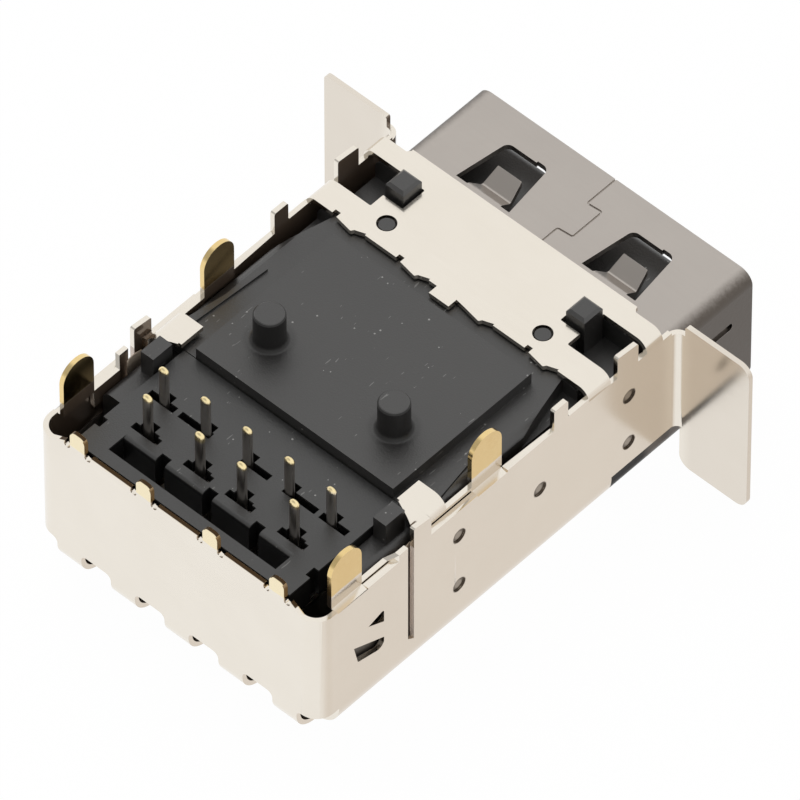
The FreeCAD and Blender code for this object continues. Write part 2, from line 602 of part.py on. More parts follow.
def inner_shell():
    """Plug shell: a bent tube with spring windows on both broad faces and two arms to the rear."""
    outer = tube(SHELL_HALF, SHELL_TOP, SHELL_UNDER, ARM_REAR, SHELL_FRONT, SHELL_BEND)
    inner = tube(MOUTH_WIDTH / 2, SHELL_TOP - SHELL_SHEET, SHELL_UNDER + SHELL_SHEET, ARM_REAR - PAST,
                 SHELL_FRONT + PAST, SHELL_BEND - SHELL_SHEET)
    shell = outer.cut(inner)
    below = block(-FAR, FAR, ARM_REAR - PAST, SHELL_FLOOR_REAR, SHELL_UNDER - PAST, ARM_FOOT)
    above = block(-FAR, FAR, ARM_REAR - PAST, SHELL_ROOF_REAR, ARM_TOP, SHELL_TOP + PAST)
    low = SIDE_SLIT_Z - SIDE_SLIT_HIGH / 2
    high = SIDE_SLIT_Z + SIDE_SLIT_HIGH / 2
    slit = slab([(SIDE_SLIT[0], low), (SIDE_SLIT[0], high), (SIDE_SLIT[1], high, SIDE_SLIT_ROUND),
                 (SIDE_SLIT[1], low, SIDE_SLIT_ROUND)],
                "x", MOUTH_WIDTH / 2 - SHELL_SHEET, SHELL_HALF + PAST)
    windows = (-PORT_X, PORT_X)
    shell = shell.cut([below, above, seam()] + [port(x) for x in windows] + pair(slit))
    middle = (SHELL_TOP + SHELL_UNDER) / 2
    upper = [spring(x) for x in windows]
    lower = [leaf.mirror(Vector(0, 0, middle), Vector(0, 0, 1)) for leaf in upper]
    return join([shell] + upper + lower)


def peg():
    """Locating peg with a bevelled top and a flared foot."""
    r = PEG_SIZE / 2
    profile = [(0, -SHEET), (r + PEG_FLARE, -SHEET), (r + PEG_FLARE, 0), (r, 0, PEG_FLARE),
               (r, PEG_HEIGHT - PEG_BEVEL), (r - PEG_BEVEL, PEG_HEIGHT), (0, PEG_HEIGHT)]
    turned = Part.Face(outline(profile, "y", 0)).revolve(Vector(0, 0, 0), Vector(0, 0, 1), 360)
    return turned.translated(Vector(PEG_X, PEG_Y, 0))


def hook():
    """Bevelled block that stands through the strip's notch."""
    x0 = HOOK_INNER + HOOK_GAP[0]
    x1 = x0 + HOOK_SIZE
    y0 = HOOK_REAR + HOOK_GAP[1]
    y1 = y0 + HOOK_LENGTH
    body = block(x0, x1, y0, y1, SHELF_TOP - SHEET, HOOK_TOP)
    tops = [e for e in body.Edges if abs(e.CenterOfMass.z - HOOK_TOP) < 1e-6]
    return body.makeChamfer(HOOK_BEVEL, tops)


def lead_path(row, z, front):
    """Middle line of a contact in the YZ plane: along the tongue, then up to the board."""
    tip = (FRONT_TAIL_TIP, REAR_TAIL_TIP)[row]
    return [(front, z), (ROW_Y[row], z, LEAD_BEND + TAIL_THICK / 2), (ROW_Y[row], tip)]


def lead_channels():
    """Room in the insert for each lead, with its clearance."""
    cuts = []
    grow = LEAD_WIDE / 2 + FIT
    thick = TAIL_THICK + 2 * FIT
    for x in FRONT_ROW_X:
        start = BUMP_Y - BUMP_SPAN / 2 - FIT
        end = BUMP_Y + BUMP_SPAN / 2 + TAIL_THICK + FIT
        cuts.append(block(x - grow, x + grow, -FAR, end, LEAD_Z[0] - thick / 2, LEAD_Z[0] + thick / 2))
        cuts.append(block(x - grow, x + grow, start, end, TONGUE_UNDER - PAST, LEAD_Z[0]))
    for x in REAR_ROW_X:
        cuts.append(block(x - grow, x + grow, -FAR, PAD_END, TONGUE_UNDER - PAST, LEAD_Z[1] + thick / 2))
        wide = PAD_WIDE / 2 + FIT
        cuts.append(block(x - wide, x + wide, PAD_END - PAD_LENGTH - FIT, PAD_END + FIT,
                          TONGUE_UNDER - PAST, LEAD_Z[1] + thick / 2))
    return cuts


def insert():
    """Moulded insert: base, roof with the board pad, tongue, rails, pegs, hooks and bosses."""
    roof_under = SHELL_TOP + FIT
    arm = MOUTH_WIDTH / 2 - FIT
    under = SHIELD_UNDER + SHEET + FIT
    base = slab([(-arm, ARM_TOP), (arm, ARM_TOP), (arm, under, SIDE_BEND), (-arm, under, SIDE_BEND)],
                "y", PAD_REAR, BASE_FACE)
    neck = block(-BODY_HALF, BODY_HALF, PAD_REAR, BASE_FACE, ARM_TOP, roof_under)
    roof = slab([(-BODY_HALF, roof_under), (-BODY_HALF, PLATE_TOP, RAIL_ROUND),
                 (BODY_HALF, PLATE_TOP, RAIL_ROUND), (BODY_HALF, roof_under)], "y", PAD_REAR, BODY_FRONT)
    pad = block(*PAD_SIDES, PAD_REAR, PAD_FRONT, PLATE_TOP, 0)
    tongue = slab([(PAD_REAR, TONGUE_TOP), (TONGUE_FRONT, TONGUE_TOP, TONGUE_BEVEL),
                   (TONGUE_FRONT, TONGUE_UNDER, TONGUE_BEVEL), (PAD_REAR, TONGUE_UNDER)],
                  "x", -TONGUE_HALF, TONGUE_HALF)
    rail = slab([(RAIL_INNER, RAIL_FOOT), (RAIL_INNER, RAIL_TOP), (BODY_HALF, RAIL_TOP, RAIL_ROUND),
                 (BODY_HALF, RAIL_FOOT)], "y", RAIL_REAR, PAD_REAR)
    block_outer = BODY_HALF - BLOCK_INSET
    ridge = slab([(RIDGE_WIDE[0], STRAP_FRONT), (RIDGE_WIDE[1], STRAP_FRONT), RIDGE_END],
                 "z", PLATE_TOP - RAIL_ROUND, PLATE_TOP + RIDGE_HIGH)
    stop = block(block_outer - BLOCK_WIDE, block_outer, BLOCK_REAR, BLOCK_FRONT, RAIL_TOP, BLOCK_TOP)
    boss = Part.makeCylinder(BOSS_SIZE / 2, BOSS_DROP + SHEET, Vector(BELT_HOLE_X, BELT_HOLE_Y, 0))
    boss.translate(Vector(0, 0, BELT_TOP - 2 * BOSS_DROP - SHEET))
    body = join([base, neck, roof, pad, tongue] + pair(rail) + pair(ridge) + pair(stop) + pair(boss)
                + pair(peg()))
    across, along = CORNER_CUT
    corner = slab([(BODY_HALF, BELT_REAR - along), (BODY_HALF - across, BELT_REAR), (FAR, BELT_REAR)],
                  "z", CORNER_FOOT, PAST)
    shelf = block(WINDOW_INNER - SHELF_REACH, FAR, WINDOW_REAR, WINDOW_FRONT, SHELF_TOP, PAST)
    cuts = pair(corner) + pair(shelf) + lead_channels()
    return join([body.cut(cuts)] + pair(hook()))


def tail_guide():
    """Plate that lines up the contact tails: T-shaped slots, a comb slot with three notches."""
    half = RAIL_INNER - GUIDE_GAP
    front = PAD_REAR - FIT
    plate = slab([(-half, GUIDE_REAR), (half, GUIDE_REAR), (half, front), (-half, front)],
                 "z", PLATE_TOP - GUIDE_THICK, PLATE_TOP)
    cuts = [block(-COMB_HALF, COMB_HALF, COMB_REAR, COMB_FRONT, -FAR, PAST)]
    for i in range(COMB_NOTCH_COUNT):
        x = (i - (COMB_NOTCH_COUNT - 1) / 2) * COMB_NOTCH_PITCH
        cuts.append(block(x - COMB_NOTCH / 2, x + COMB_NOTCH / 2, COMB_FRONT - FIT,
                          COMB_FRONT + COMB_NOTCH_DEEP, -FAR, PAST))
    for row, places in enumerate((FRONT_ROW_X, REAR_ROW_X)):
        for i, x in enumerate(places):
            shift = SLOT_SHIFT[i] if row == 0 else 0.0
            grow = (SHOULDER_WIDE if row else TAIL_WIDE) / 2 + FIT
            y = ROW_Y[row]
            thick = TAIL_THICK / 2
            cuts.append(block(x - grow, x + grow, y - thick - FIT, y + thick + FIT, -FAR, PAST))
            slot_x = x + shift
            slot_y = y + T_SHIFT[row]
            cuts.append(block(slot_x - T_SLOT[0] / 2, slot_x + T_SLOT[0] / 2, slot_y - T_SLOT[1] / 2,
                              slot_y + T_SLOT[1] / 2, -FAR, PAST))
            cuts.append(block(x - SQUARE_HOLE / 2, x + SQUARE_HOLE / 2, y, y + thick + SQUARE_HOLE,
                              -FAR, PAST))
    for side in (-1, 1):
        cuts.append(block(side * half - SIDE_NOTCH, side * half + SIDE_NOTCH, COMB_FRONT - SIDE_NOTCH,
                          COMB_FRONT + SIDE_NOTCH, -FAR, PAST))
    plate = plate.cut(cuts)
    rim = [edge.BoundBox for edge in plate.Edges]
    teeth = [edge for edge, box in zip(plate.Edges, rim) if box.ZMin > PLATE_TOP - FIT
             and box.YMin > COMB_FRONT - FIT and box.YMax < COMB_FRONT + FIT]
    return plate.makeFillet(COMB_ROUND, teeth)


def tail_taper(x, y, tip):
    """Four-sided point that bevels the end of a tail."""
    wide = TAIL_WIDE / 2
    thick = TAIL_THICK / 2
    foot = tip - TAIL_BEVEL
    above = tip + PAST
    cuts = []
    for side in (-1, 1):
        edge = x + side * wide
        top = x + side * (wide - TAIL_BEVEL)
        out = x + side * (wide + PAST)
        cuts.append(slab([(edge, foot), (top, tip), (top, above), (out, above), (out, foot)],
                         "y", y - PAST, y + PAST))
        edge = y + side * thick
        top = y + side * (thick - TAIL_BEVEL / 2)
        out = y + side * (thick + PAST)
        cuts.append(slab([(edge, foot), (top, tip), (top, above), (out, above), (out, foot)],
                         "x", x - PAST, x + PAST))
    return cuts


def tail_part(x, row):
    """Upper part of a contact, wider than its lead, from the guide to the tip."""
    y = ROW_Y[row]
    tip = (FRONT_TAIL_TIP, REAR_TAIL_TIP)[row]
    shapes = [block(x - TAIL_WIDE / 2, x + TAIL_WIDE / 2, y - TAIL_THICK / 2, y + TAIL_THICK / 2,
                    SHOULDER_FOOT, tip)]
    if row:
        shapes.append(block(x - SHOULDER_WIDE / 2, x + SHOULDER_WIDE / 2, y - TAIL_THICK / 2,
                            y + TAIL_THICK / 2, SHOULDER_FOOT, SHOULDER_TOP))
    return shapes


def rear_contact(x):
    """Contact of the rear row: a flat pad under the tongue, a lead and a tail."""
    z = LEAD_Z[1]
    lead = ribbon(lead_path(1, z, PAD_END - PAD_LENGTH), TAIL_THICK,
                  "x", x - LEAD_WIDE / 2, x + LEAD_WIDE / 2)
    pad = block(x - PAD_WIDE / 2, x + PAD_WIDE / 2, PAD_END - PAD_LENGTH, PAD_END, z - TAIL_THICK / 2,
                z + TAIL_THICK / 2)
    return join([lead, pad] + tail_part(x, 1)).cut(tail_taper(x, ROW_Y[1], REAR_TAIL_TIP))


def front_contact(x):
    """Contact of the front row: a bent bump that stands out of the tongue, a lead and a tail."""
    z = LEAD_Z[0]
    crest = TONGUE_UNDER - BUMP_DROP
    path = [(BUMP_Y + BUMP_SPAN / 2, z - TAIL_THICK), (BUMP_Y, crest, TAIL_THICK),
            (BUMP_Y - BUMP_SPAN / 2, z, TAIL_THICK)]
    lead = ribbon(path + lead_path(0, z, 0)[1:], TAIL_THICK, "x", x - LEAD_WIDE / 2, x + LEAD_WIDE / 2)
    return join([lead] + tail_part(x, 0)).cut(tail_taper(x, ROW_Y[0], FRONT_TAIL_TIP))


def main():
    nodes = {"outer_shield": outer_shield(), "inner_shell": inner_shell(), "insert": insert(),
             "tail_guide": tail_guide()}
    for i, x in enumerate(FRONT_ROW_X, 1):
        nodes[f"front_contact_{i}"] = front_contact(x)
    for i, x in enumerate(REAR_ROW_X, 1):
        nodes[f"rear_contact_{i}"] = rear_contact(x)
    os.makedirs("parts", exist_ok=True)
    for name, shape in nodes.items():
        shape = shape.translated(ORIGIN)
        box = shape.BoundBox
        print(f"{name}: {len(shape.Solids)} solid, valid {shape.isValid()}, {shape.Volume:.3f} mm3, "
              f"x {box.XMin:.2f} {box.XMax:.2f}, y {box.YMin:.2f} {box.YMax:.2f}, "
              f"z {box.ZMin:.2f} {box.ZMax:.2f}")
        shape.exportStep(f"parts/{name}.step")


main()
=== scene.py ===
# %% [markdown]
# # A shielded board connector with its board side up
# The real part is about 23 mm long. A folded nickel shield holds a moulded black insert, a plug shell
# stands out at one end, and nine thin contact tails and four shield tails point up to the circuit board.
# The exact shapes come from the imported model. This file gives them rounded edges, finishes and light.

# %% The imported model
import math

import bmesh
import bpy
import numpy as np
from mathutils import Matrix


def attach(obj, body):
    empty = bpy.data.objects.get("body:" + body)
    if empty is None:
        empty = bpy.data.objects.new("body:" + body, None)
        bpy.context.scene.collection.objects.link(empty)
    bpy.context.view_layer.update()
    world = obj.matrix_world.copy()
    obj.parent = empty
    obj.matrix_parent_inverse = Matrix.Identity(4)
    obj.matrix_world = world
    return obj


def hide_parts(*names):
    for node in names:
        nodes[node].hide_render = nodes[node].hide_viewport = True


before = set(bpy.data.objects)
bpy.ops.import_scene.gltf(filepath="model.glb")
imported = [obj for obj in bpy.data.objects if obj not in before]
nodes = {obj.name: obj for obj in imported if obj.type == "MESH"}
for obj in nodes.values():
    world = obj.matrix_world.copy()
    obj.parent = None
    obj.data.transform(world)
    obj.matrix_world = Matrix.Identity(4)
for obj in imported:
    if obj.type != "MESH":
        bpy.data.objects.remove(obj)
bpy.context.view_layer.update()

MM = 0.001

# %% [markdown]
# ## Camera
# The picture was taken with a long lens from behind and above, so the sides hardly converge. A long focal
# length far away gives the same view. The turn of the camera follows from its two angles.

# %% Camera
AZIMUTH = math.radians(42.74)
ELEVATION = math.radians(50.17)
CAMERA_PLACE = (281.17, -304.14, 500.71)
LENS = 823.7
SENSOR = 36.0
camera_data = bpy.data.cameras.new("camera")
camera_data.sensor_width = SENSOR
camera_data.lens = LENS
camera_data.clip_start = 0.05
camera_data.clip_end = 5.0
camera = bpy.data.objects.new("camera", camera_data)
camera.location = [v * MM for v in CAMERA_PLACE]
camera.rotation_euler = (math.pi / 2 - ELEVATION, 0.0, AZIMUTH)
bpy.context.scene.collection.objects.link(camera)
bpy.context.scene.camera = camera
print("camera at", [round(v, 4) for v in camera.location])

# %% [markdown]
# ## Nodes in few words
# A finish is a net of small nodes. Placed by hand in Blender's editor they are easy to see and slow to
# repeat, so each helper here makes one node, gives it its values and hands on the socket that comes out.

# %% Node helpers
def feed(tree, value, socket):
    """Gives a socket a link from another socket, or a plain value."""
    if isinstance(value, bpy.types.NodeSocket):
        tree.links.new(value, socket)
    else:
        socket.default_value = value


def add(tree, kind, values=None, **settings):
    """New node with its settings and its fixed socket values."""
    node = tree.nodes.new(kind)
    for key, value in settings.items():
        setattr(node, key, value)
    for key, value in (values or {}).items():
        node.inputs[key].default_value = value
    return node


def calc(tree, operation, a, b=0.0):
    """Math node whose operands are sockets or numbers; gives its output socket."""
    node = add(tree, "ShaderNodeMath", operation=operation)
    feed(tree, a, node.inputs[0])
    feed(tree, b, node.inputs[1])
    return node.outputs[0]


def span(tree, value, low, high, start=-0.5, end=0.5, smooth=False):
    """Stretches a value from start..end to low..high, evenly or with soft ends."""
    node = add(tree, "ShaderNodeMapRange",
               {"From Min": start, "From Max": end, "To Min": low, "To Max": high})
    node.interpolation_type = "SMOOTHSTEP" if smooth else "LINEAR"
    tree.links.new(value, node.inputs["Value"])
    return node.outputs["Result"]


# %% [markdown]
# ## What the camera and the metal see
# Metal shows what is round it. The floor and the sky are white for the camera and for rays that bounce off
# shiny faces, and plain paper for everything else. The same small chain of nodes tells both which ray it is:
# the largest of three flags.

# %% Seen directly or in a shiny face
def seen_flag(tree):
    """Socket that is 1 for the camera's own rays and for shiny and clear bounces, and 0 for the rest."""
    path = add(tree, "ShaderNodeLightPath")
    flag = path.outputs["Is Camera Ray"]
    for other in ("Is Glossy Ray", "Is Transmission Ray"):
        flag = calc(tree, "MAXIMUM", flag, path.outputs[other])
    return flag


def seen_range(tree, unseen, seen):
    """Socket with one value for plain light and another for what is seen."""
    return span(tree, seen_flag(tree), unseen, seen, 0.0, 1.0)


# %% [markdown]
# ## Floor
# The floor is one square of white paper, far wider than the picture. Lit paper alone would turn grey towards
# the picture's corners, so where it is seen it glows evenly, just below white, and elsewhere it stays paper.

# %% Floor
FLOOR_HALF = 1.2
FLOOR_GLOW = 0.98
corners = [(x * FLOOR_HALF, y * FLOOR_HALF, 0.0) for x, y in ((-1, -1), (1, -1), (1, 1), (-1, 1))]
floor_mesh = bpy.data.meshes.new("floor")
floor_mesh.from_pydata(corners, [], [(0, 1, 2, 3)])
floor = bpy.data.objects.new("floor", floor_mesh)
bpy.context.scene.collection.objects.link(floor)

floor_material = bpy.data.materials.new("floor paper")
floor_material.use_nodes = True
tree = floor_material.node_tree
paper = tree.nodes["Principled BSDF"]
paper.inputs["Base Color"].default_value = (0.95, 0.95, 0.95, 1)
paper.inputs["Roughness"].default_value = 0.9
paper.inputs["Specular IOR Level"].default_value = 0.1
white = add(tree, "ShaderNodeEmission")
both = add(tree, "ShaderNodeMixShader")
tree.links.new(seen_range(tree, 0.0, FLOOR_GLOW), both.inputs[0])
tree.links.new(paper.outputs[0], both.inputs[1])
tree.links.new(white.outputs[0], both.inputs[2])
tree.links.new(both.outputs[0], tree.nodes["Material Output"].inputs["Surface"])
floor_mesh.materials.append(floor_material)
print("floor", 2 * FLOOR_HALF, "m wide")

# %% [markdown]
# ## Sky
# The picture was taken in a white tent: nearly everything that the metal mirrors is white. Only high up
# behind the part, where the spring tongues mirror it, the tent is dimmer. The world does the same: its
# brightness falls off round one direction, measured by the cosine of the angle to it.

# %% Sky
SKY_FILL = 0.60
SKY_SEEN = 1.0
SKY_TONE = (1.0, 0.995, 0.985)
DIM_TOWARDS = (-0.40, -0.60, 0.69)
DIM_COSINES = (0.70, 0.96)
DIM_SHARE = 0.48
world = bpy.data.worlds.new("studio")
bpy.context.scene.world = world
world.use_nodes = True
sky = world.node_tree
background = sky.nodes["Background"]
background.inputs["Color"].default_value = (*SKY_TONE, 1)

towards = add(sky, "ShaderNodeVectorMath", operation="DOT_PRODUCT")
towards.inputs[1].default_value = DIM_TOWARDS
sky.links.new(add(sky, "ShaderNodeTexCoord").outputs["Generated"], towards.inputs[0])
dimmer = span(sky, towards.outputs["Value"], 1.0, 1.0 - DIM_SHARE, *DIM_COSINES, smooth=True)
strength = calc(sky, "MULTIPLY", seen_range(sky, SKY_FILL, SKY_SEEN), dimmer)
sky.links.new(strength, background.inputs["Strength"])
bpy.context.scene.view_settings.view_transform = "Standard"
print("sky:", SKY_FILL, "as light,", SKY_SEEN, "where it is seen")

# %% [markdown]
# ## Lamp
# One large soft lamp stands above on the left and faces the part. Metal would mirror it as a square glint,
# and a tent leaves none, so the lamp is hidden from shiny rays.

# %% Lamp
LAMP_PLACE = (-0.22, 0.08, 0.45)
LAMP_SIZE = 0.42
LAMP_WATTS = 1.5
lamp_data = bpy.data.lights.new("key", "AREA")
lamp_data.shape = "SQUARE"
lamp_data.size = LAMP_SIZE
lamp_data.energy = LAMP_WATTS
lamp = bpy.data.objects.new("key", lamp_data)
lamp.location = LAMP_PLACE
x, y, z = LAMP_PLACE
lamp.rotation_euler = (math.atan2(math.hypot(x, y), z), 0.0, math.atan2(x, -y))
lamp.visible_glossy = False
bpy.context.scene.collection.objects.link(lamp)
print("lamp:", lamp.name, LAMP_WATTS, "W")

# %% [markdown]
# ## Effects that several finishes share
# Rolled sheet is never a perfect mirror: the mill leaves fine lines along it, and handling adds small
# scuffs. Moulded plastic has a fine sparked skin. Each effect is a node group built once, with its own
# inputs, so that every finish can use it at its own strength. A group reads the object's own coordinates
# through its Vector input and gives out masks and values only.

# %% Group helpers
def effect(name, outputs, vectors=("Vector",), amounts=()):
    """Empty shader group with named inputs and outputs; an amount is 1 unless a finish says otherwise."""
    group = bpy.data.node_groups.new(name, "ShaderNodeTree")
    for title in vectors:
        group.interface.new_socket(name=title, in_out="INPUT", socket_type="NodeSocketVector")
    for title in amounts:
        socket = group.interface.new_socket(name=title, in_out="INPUT", socket_type="NodeSocketFloat")
        socket.default_value = 1.0
    for title in outputs:
        group.interface.new_socket(name=title, in_out="OUTPUT", socket_type="NodeSocketFloat")
    return group, group.nodes.new("NodeGroupInput").outputs, group.nodes.new("NodeGroupOutput").inputs


def give(group, result, values):
    """Links each value to the group's output of that name."""
    for title, value in values.items():
        group.links.new(value, result[title])
    print("effect:", group.name, "gives", ", ".join(values))


def axes(tree, vector):
    """The three parts of a vector, as sockets named X, Y and Z."""
    node = add(tree, "ShaderNodeSeparateXYZ")
    tree.links.new(vector, node.inputs[0])
    return node.outputs


def cloud(tree, vector, scale, detail=3.0, roughness=0.55):
    """Noise value round 0, from about -0.5 to 0.5; the scale is in waves per metre."""
    node = add(tree, "ShaderNodeTexNoise", {"Scale": scale, "Detail": detail, "Roughness": roughness})
    tree.links.new(vector, node.inputs["Vector"])
    return calc(tree, "SUBTRACT", node.outputs["Fac"], 0.5)


# %% [markdown]
# ### Masks
# A mask is 1 where an effect shows and 0 where it doesn't. A hard limit is a comparison, and a soft one is a
# ramp between two places. Masks that have to hold together are multiplied.

# %% Mask helpers
def over(tree, value, limit):
    """1 where the value is greater than the limit."""
    return calc(tree, "GREATER_THAN", value, limit)


def under(tree, value, limit):
    """1 where the value is less than the limit."""
    return calc(tree, "LESS_THAN", value, limit)


def every(tree, *masks):
    """Product of several masks: 1 where all of them are."""
    product = masks[0]
    for mask in masks[1:]:
        product = calc(tree, "MULTIPLY", product, mask)
    return product


def ramp(tree, value, ends):
    """Soft step from 0 at the first place to 1 at the second, both in mm."""
    return span(tree, value, 0.0, 1.0, ends[0] * MM, ends[1] * MM, smooth=True)


def nearest_place(tree, first, second, places):
    """Distance to the nearest of several places in mm, in the plane of two axes."""
    nearest = 1.0
    for a, b in places:
        across = calc(tree, "POWER", calc(tree, "SUBTRACT", first, a * MM), 2.0)
        along = calc(tree, "POWER", calc(tree, "SUBTRACT", second, b * MM), 2.0)
        apart = calc(tree, "SQRT", calc(tree, "ADD", across, along))
        nearest = calc(tree, "MINIMUM", apart, nearest)
    return nearest


# %% [markdown]
# ### Rolled grain
# Fine lines that run across the part, slow clouds and small scuffs. The lines are noise that is stretched
# along X; a wave texture would repeat and look printed.

# %% Rolled grain
LINE_STRETCH = (0.06, 1.0, 1.0)
LINE_WAVES = 9000.0
CLOUD_WAVES = 420.0
SCUFF_WAVES = 16000.0
SCUFF_SHARE = 0.5
grain, given, result = effect("rolled grain", ("Tone", "Height"), amounts=("Lines", "Cloud"))
where = given["Vector"]
stretch = add(grain, "ShaderNodeVectorMath", operation="MULTIPLY")
stretch.inputs[1].default_value = LINE_STRETCH
grain.links.new(where, stretch.inputs[0])
lines = calc(grain, "MULTIPLY", cloud(grain, stretch.outputs[0], LINE_WAVES, roughness=0.6), given["Lines"])
clouds = calc(grain, "MULTIPLY", cloud(grain, where, CLOUD_WAVES, detail=4.0), given["Cloud"])
scuffs = calc(grain, "MULTIPLY", cloud(grain, where, SCUFF_WAVES, detail=2.0, roughness=0.6), SCUFF_SHARE)
give(grain, result, {"Tone": calc(grain, "ADD", lines, clouds), "Height": calc(grain, "ADD", lines, scuffs)})

# %% [markdown]
# ### Moulded skin
# A sparked skin with slow changes of tone, a few pale specks of dust and some slanted scratches. The specks
# are the cores of scattered cells. They and the scratches are kept only where another noise is high, so that
# most of the skin stays clean.

# %% Moulded skin
SKIN_WAVES = 14000.0
TONE_WAVES = 350.0
DUST_CELLS = 2300.0
DUST_RADIUS = 0.090
DIRTY_WAVES = 700.0
DIRTY_LEVEL = 0.06
SCRATCH_TURN = (0.0, 0.0, 0.9)
SCRATCH_STRETCH = (1.0, 0.16, 1.0)
SCRATCH_WAVES = 11000.0
SCRATCH_LEVEL = 0.225
SCRATCH_SHARE = 0.45
skin, given, result = effect("moulded skin", ("Tone", "Speck", "Height"), amounts=("Specks",))
where = given["Vector"]
dust = add(skin, "ShaderNodeTexVoronoi", {"Scale": DUST_CELLS, "Randomness": 1.0}, feature="F1")
skin.links.new(where, dust.inputs["Vector"])
specks = under(skin, dust.outputs["Distance"], DUST_RADIUS)
slant = add(skin, "ShaderNodeMapping", {"Rotation": SCRATCH_TURN, "Scale": SCRATCH_STRETCH})
skin.links.new(where, slant.inputs["Vector"])
scratches = over(skin, cloud(skin, slant.outputs[0], SCRATCH_WAVES, detail=1.0), SCRATCH_LEVEL)
marks = calc(skin, "MAXIMUM", specks, calc(skin, "MULTIPLY", scratches, SCRATCH_SHARE))
dirty = over(skin, cloud(skin, where, DIRTY_WAVES, detail=1.0), DIRTY_LEVEL)
give(skin, result, {"Speck": every(skin, marks, dirty, given["Specks"]),
                    "Tone": cloud(skin, where, TONE_WAVES),
                    "Height": cloud(skin, where, SKIN_WAVES, roughness=0.65)})

# %% [markdown]
# ### Plated zone
# The tails are gold down to a line near the board face. The zone, Mask, is everything above a level that
# lies behind the rear tails or within the width of the front tails, with a slightly ragged edge. The rear
# wall has lower lines of its own: Rear is the wall above the first, Rim is its upper edge, and Inner is the
# inner part of that edge.

# %% Plated zone
GOLD_LEVEL = 7.87
GOLD_FADE = 0.06
GOLD_RAGGED = 0.12
GOLD_WAVES = 2500.0
REAR_ZONE_Y = -8.81
FRONT_TAIL_Y = -2.435
FRONT_TAIL_HALF = 0.80
REAR_WALL_Y = -11.10
REAR_GOLD = (7.60, 7.66)
REAR_EDGE = (7.45, 7.47)
REAR_INNER = (-11.41, -11.38)
zone, given, result = effect("plated zone", ("Mask", "Rear", "Inner", "Rim"))
where = given["Vector"]
place = axes(zone, where)
behind = under(zone, place["Y"], REAR_ZONE_Y * MM)
from_tail = calc(zone, "ABSOLUTE", calc(zone, "SUBTRACT", place["Y"], FRONT_TAIL_Y * MM))
beside = under(zone, from_tail, FRONT_TAIL_HALF * MM)
ragged = calc(zone, "MULTIPLY", cloud(zone, where, GOLD_WAVES), GOLD_RAGGED * MM)
height = calc(zone, "ADD", place["Z"], ragged)
above = ramp(zone, height, (GOLD_LEVEL - GOLD_FADE, GOLD_LEVEL + GOLD_FADE))
rear_wall = under(zone, place["Y"], REAR_WALL_Y * MM)
at_edge = every(zone, rear_wall, ramp(zone, place["Z"], REAR_EDGE))
give(zone, result, {"Mask": every(zone, above, calc(zone, "MAXIMUM", behind, beside)),
                    "Rear": every(zone, ramp(zone, height, REAR_GOLD), rear_wall),
                    "Inner": every(zone, at_edge, ramp(zone, place["Y"], REAR_INNER)),
                    "Rim": at_edge})

# %% [markdown]
# ### Heat spots
# Ten spot welds hold the shield to the plug shell, five on each side wall. Each leaves a round brown ring
# with a paler middle. The distance to the nearest weld, in the plane of the wall, gives both.

# %% Heat spots
WELDS = ((4.67, 5.74), (4.68, 3.19), (0.03, 4.71), (-4.17, 5.89), (-4.16, 3.20))
RING_FADE = (0.36, 0.28)
CORE_FADE = (0.22, 0.12)
SPOT_RAGGED = 0.10
SPOT_WAVES = 3000.0
spots, given, result = effect("heat spots", ("Ring", "Core"))
where = given["Vector"]
place = axes(spots, where)
nearest = nearest_place(spots, place["Y"], place["Z"], WELDS)
wobble = calc(spots, "MULTIPLY", cloud(spots, where, SPOT_WAVES), SPOT_RAGGED * MM)
nearest = calc(spots, "ADD", nearest, wobble)
give(spots, result, {"Ring": ramp(spots, nearest, RING_FADE), "Core": ramp(spots, nearest, CORE_FADE)})

# %% [markdown]
# ### Drawn corner
# The plug shell is smooth on its broad faces and grainy where the sheet was drawn round, and its narrow
# sides are rougher and carry a painted shade. Side grows from the start of the bend, Grain is a coarse grain
# on the bend, and Covered is the part of the shell that lies inside the shield, where hardly any light
# comes.

# %% Drawn corner
DRAWN_WAVES = 5200.0
DRAWN_RAGGED = 0.30
DRAWN_SIDE_SHADE = (5.95, 6.50)
DRAWN_GRAIN = (5.7, 6.1)
COVERED = (6.2, 5.6)
drawn, given, result = effect("drawn corner", ("Side", "Grain", "Covered"))
where = given["Vector"]
place = axes(drawn, where)
from_middle = calc(drawn, "ABSOLUTE", place["X"])
coarse = cloud(drawn, where, DRAWN_WAVES, detail=4.0, roughness=0.7)
reach = calc(drawn, "ADD", from_middle, calc(drawn, "MULTIPLY", coarse, DRAWN_RAGGED * MM))
give(drawn, result, {"Side": ramp(drawn, reach, DRAWN_SIDE_SHADE),
                     "Grain": calc(drawn, "MULTIPLY", coarse, ramp(drawn, from_middle, DRAWN_GRAIN)),
                     "Covered": ramp(drawn, place["Y"], COVERED)})

# %% [markdown]
# ### Faces of the shield
# The shield's rolled face, its sheared edges and its inside have different tones, and a place alone can't
# tell them apart, because they meet. This effect also takes the way that the face looks, as Facing.
# Crosswise is every face that doesn't look along the part, and Sideways every one that looks across it.
# Slot side is the cut side of the tall slot in either wall, Inward is the inside of the side walls and of
# the rear wall, Wing is what stands out beyond the walls, and Side wall is a face that looks straight
# across.

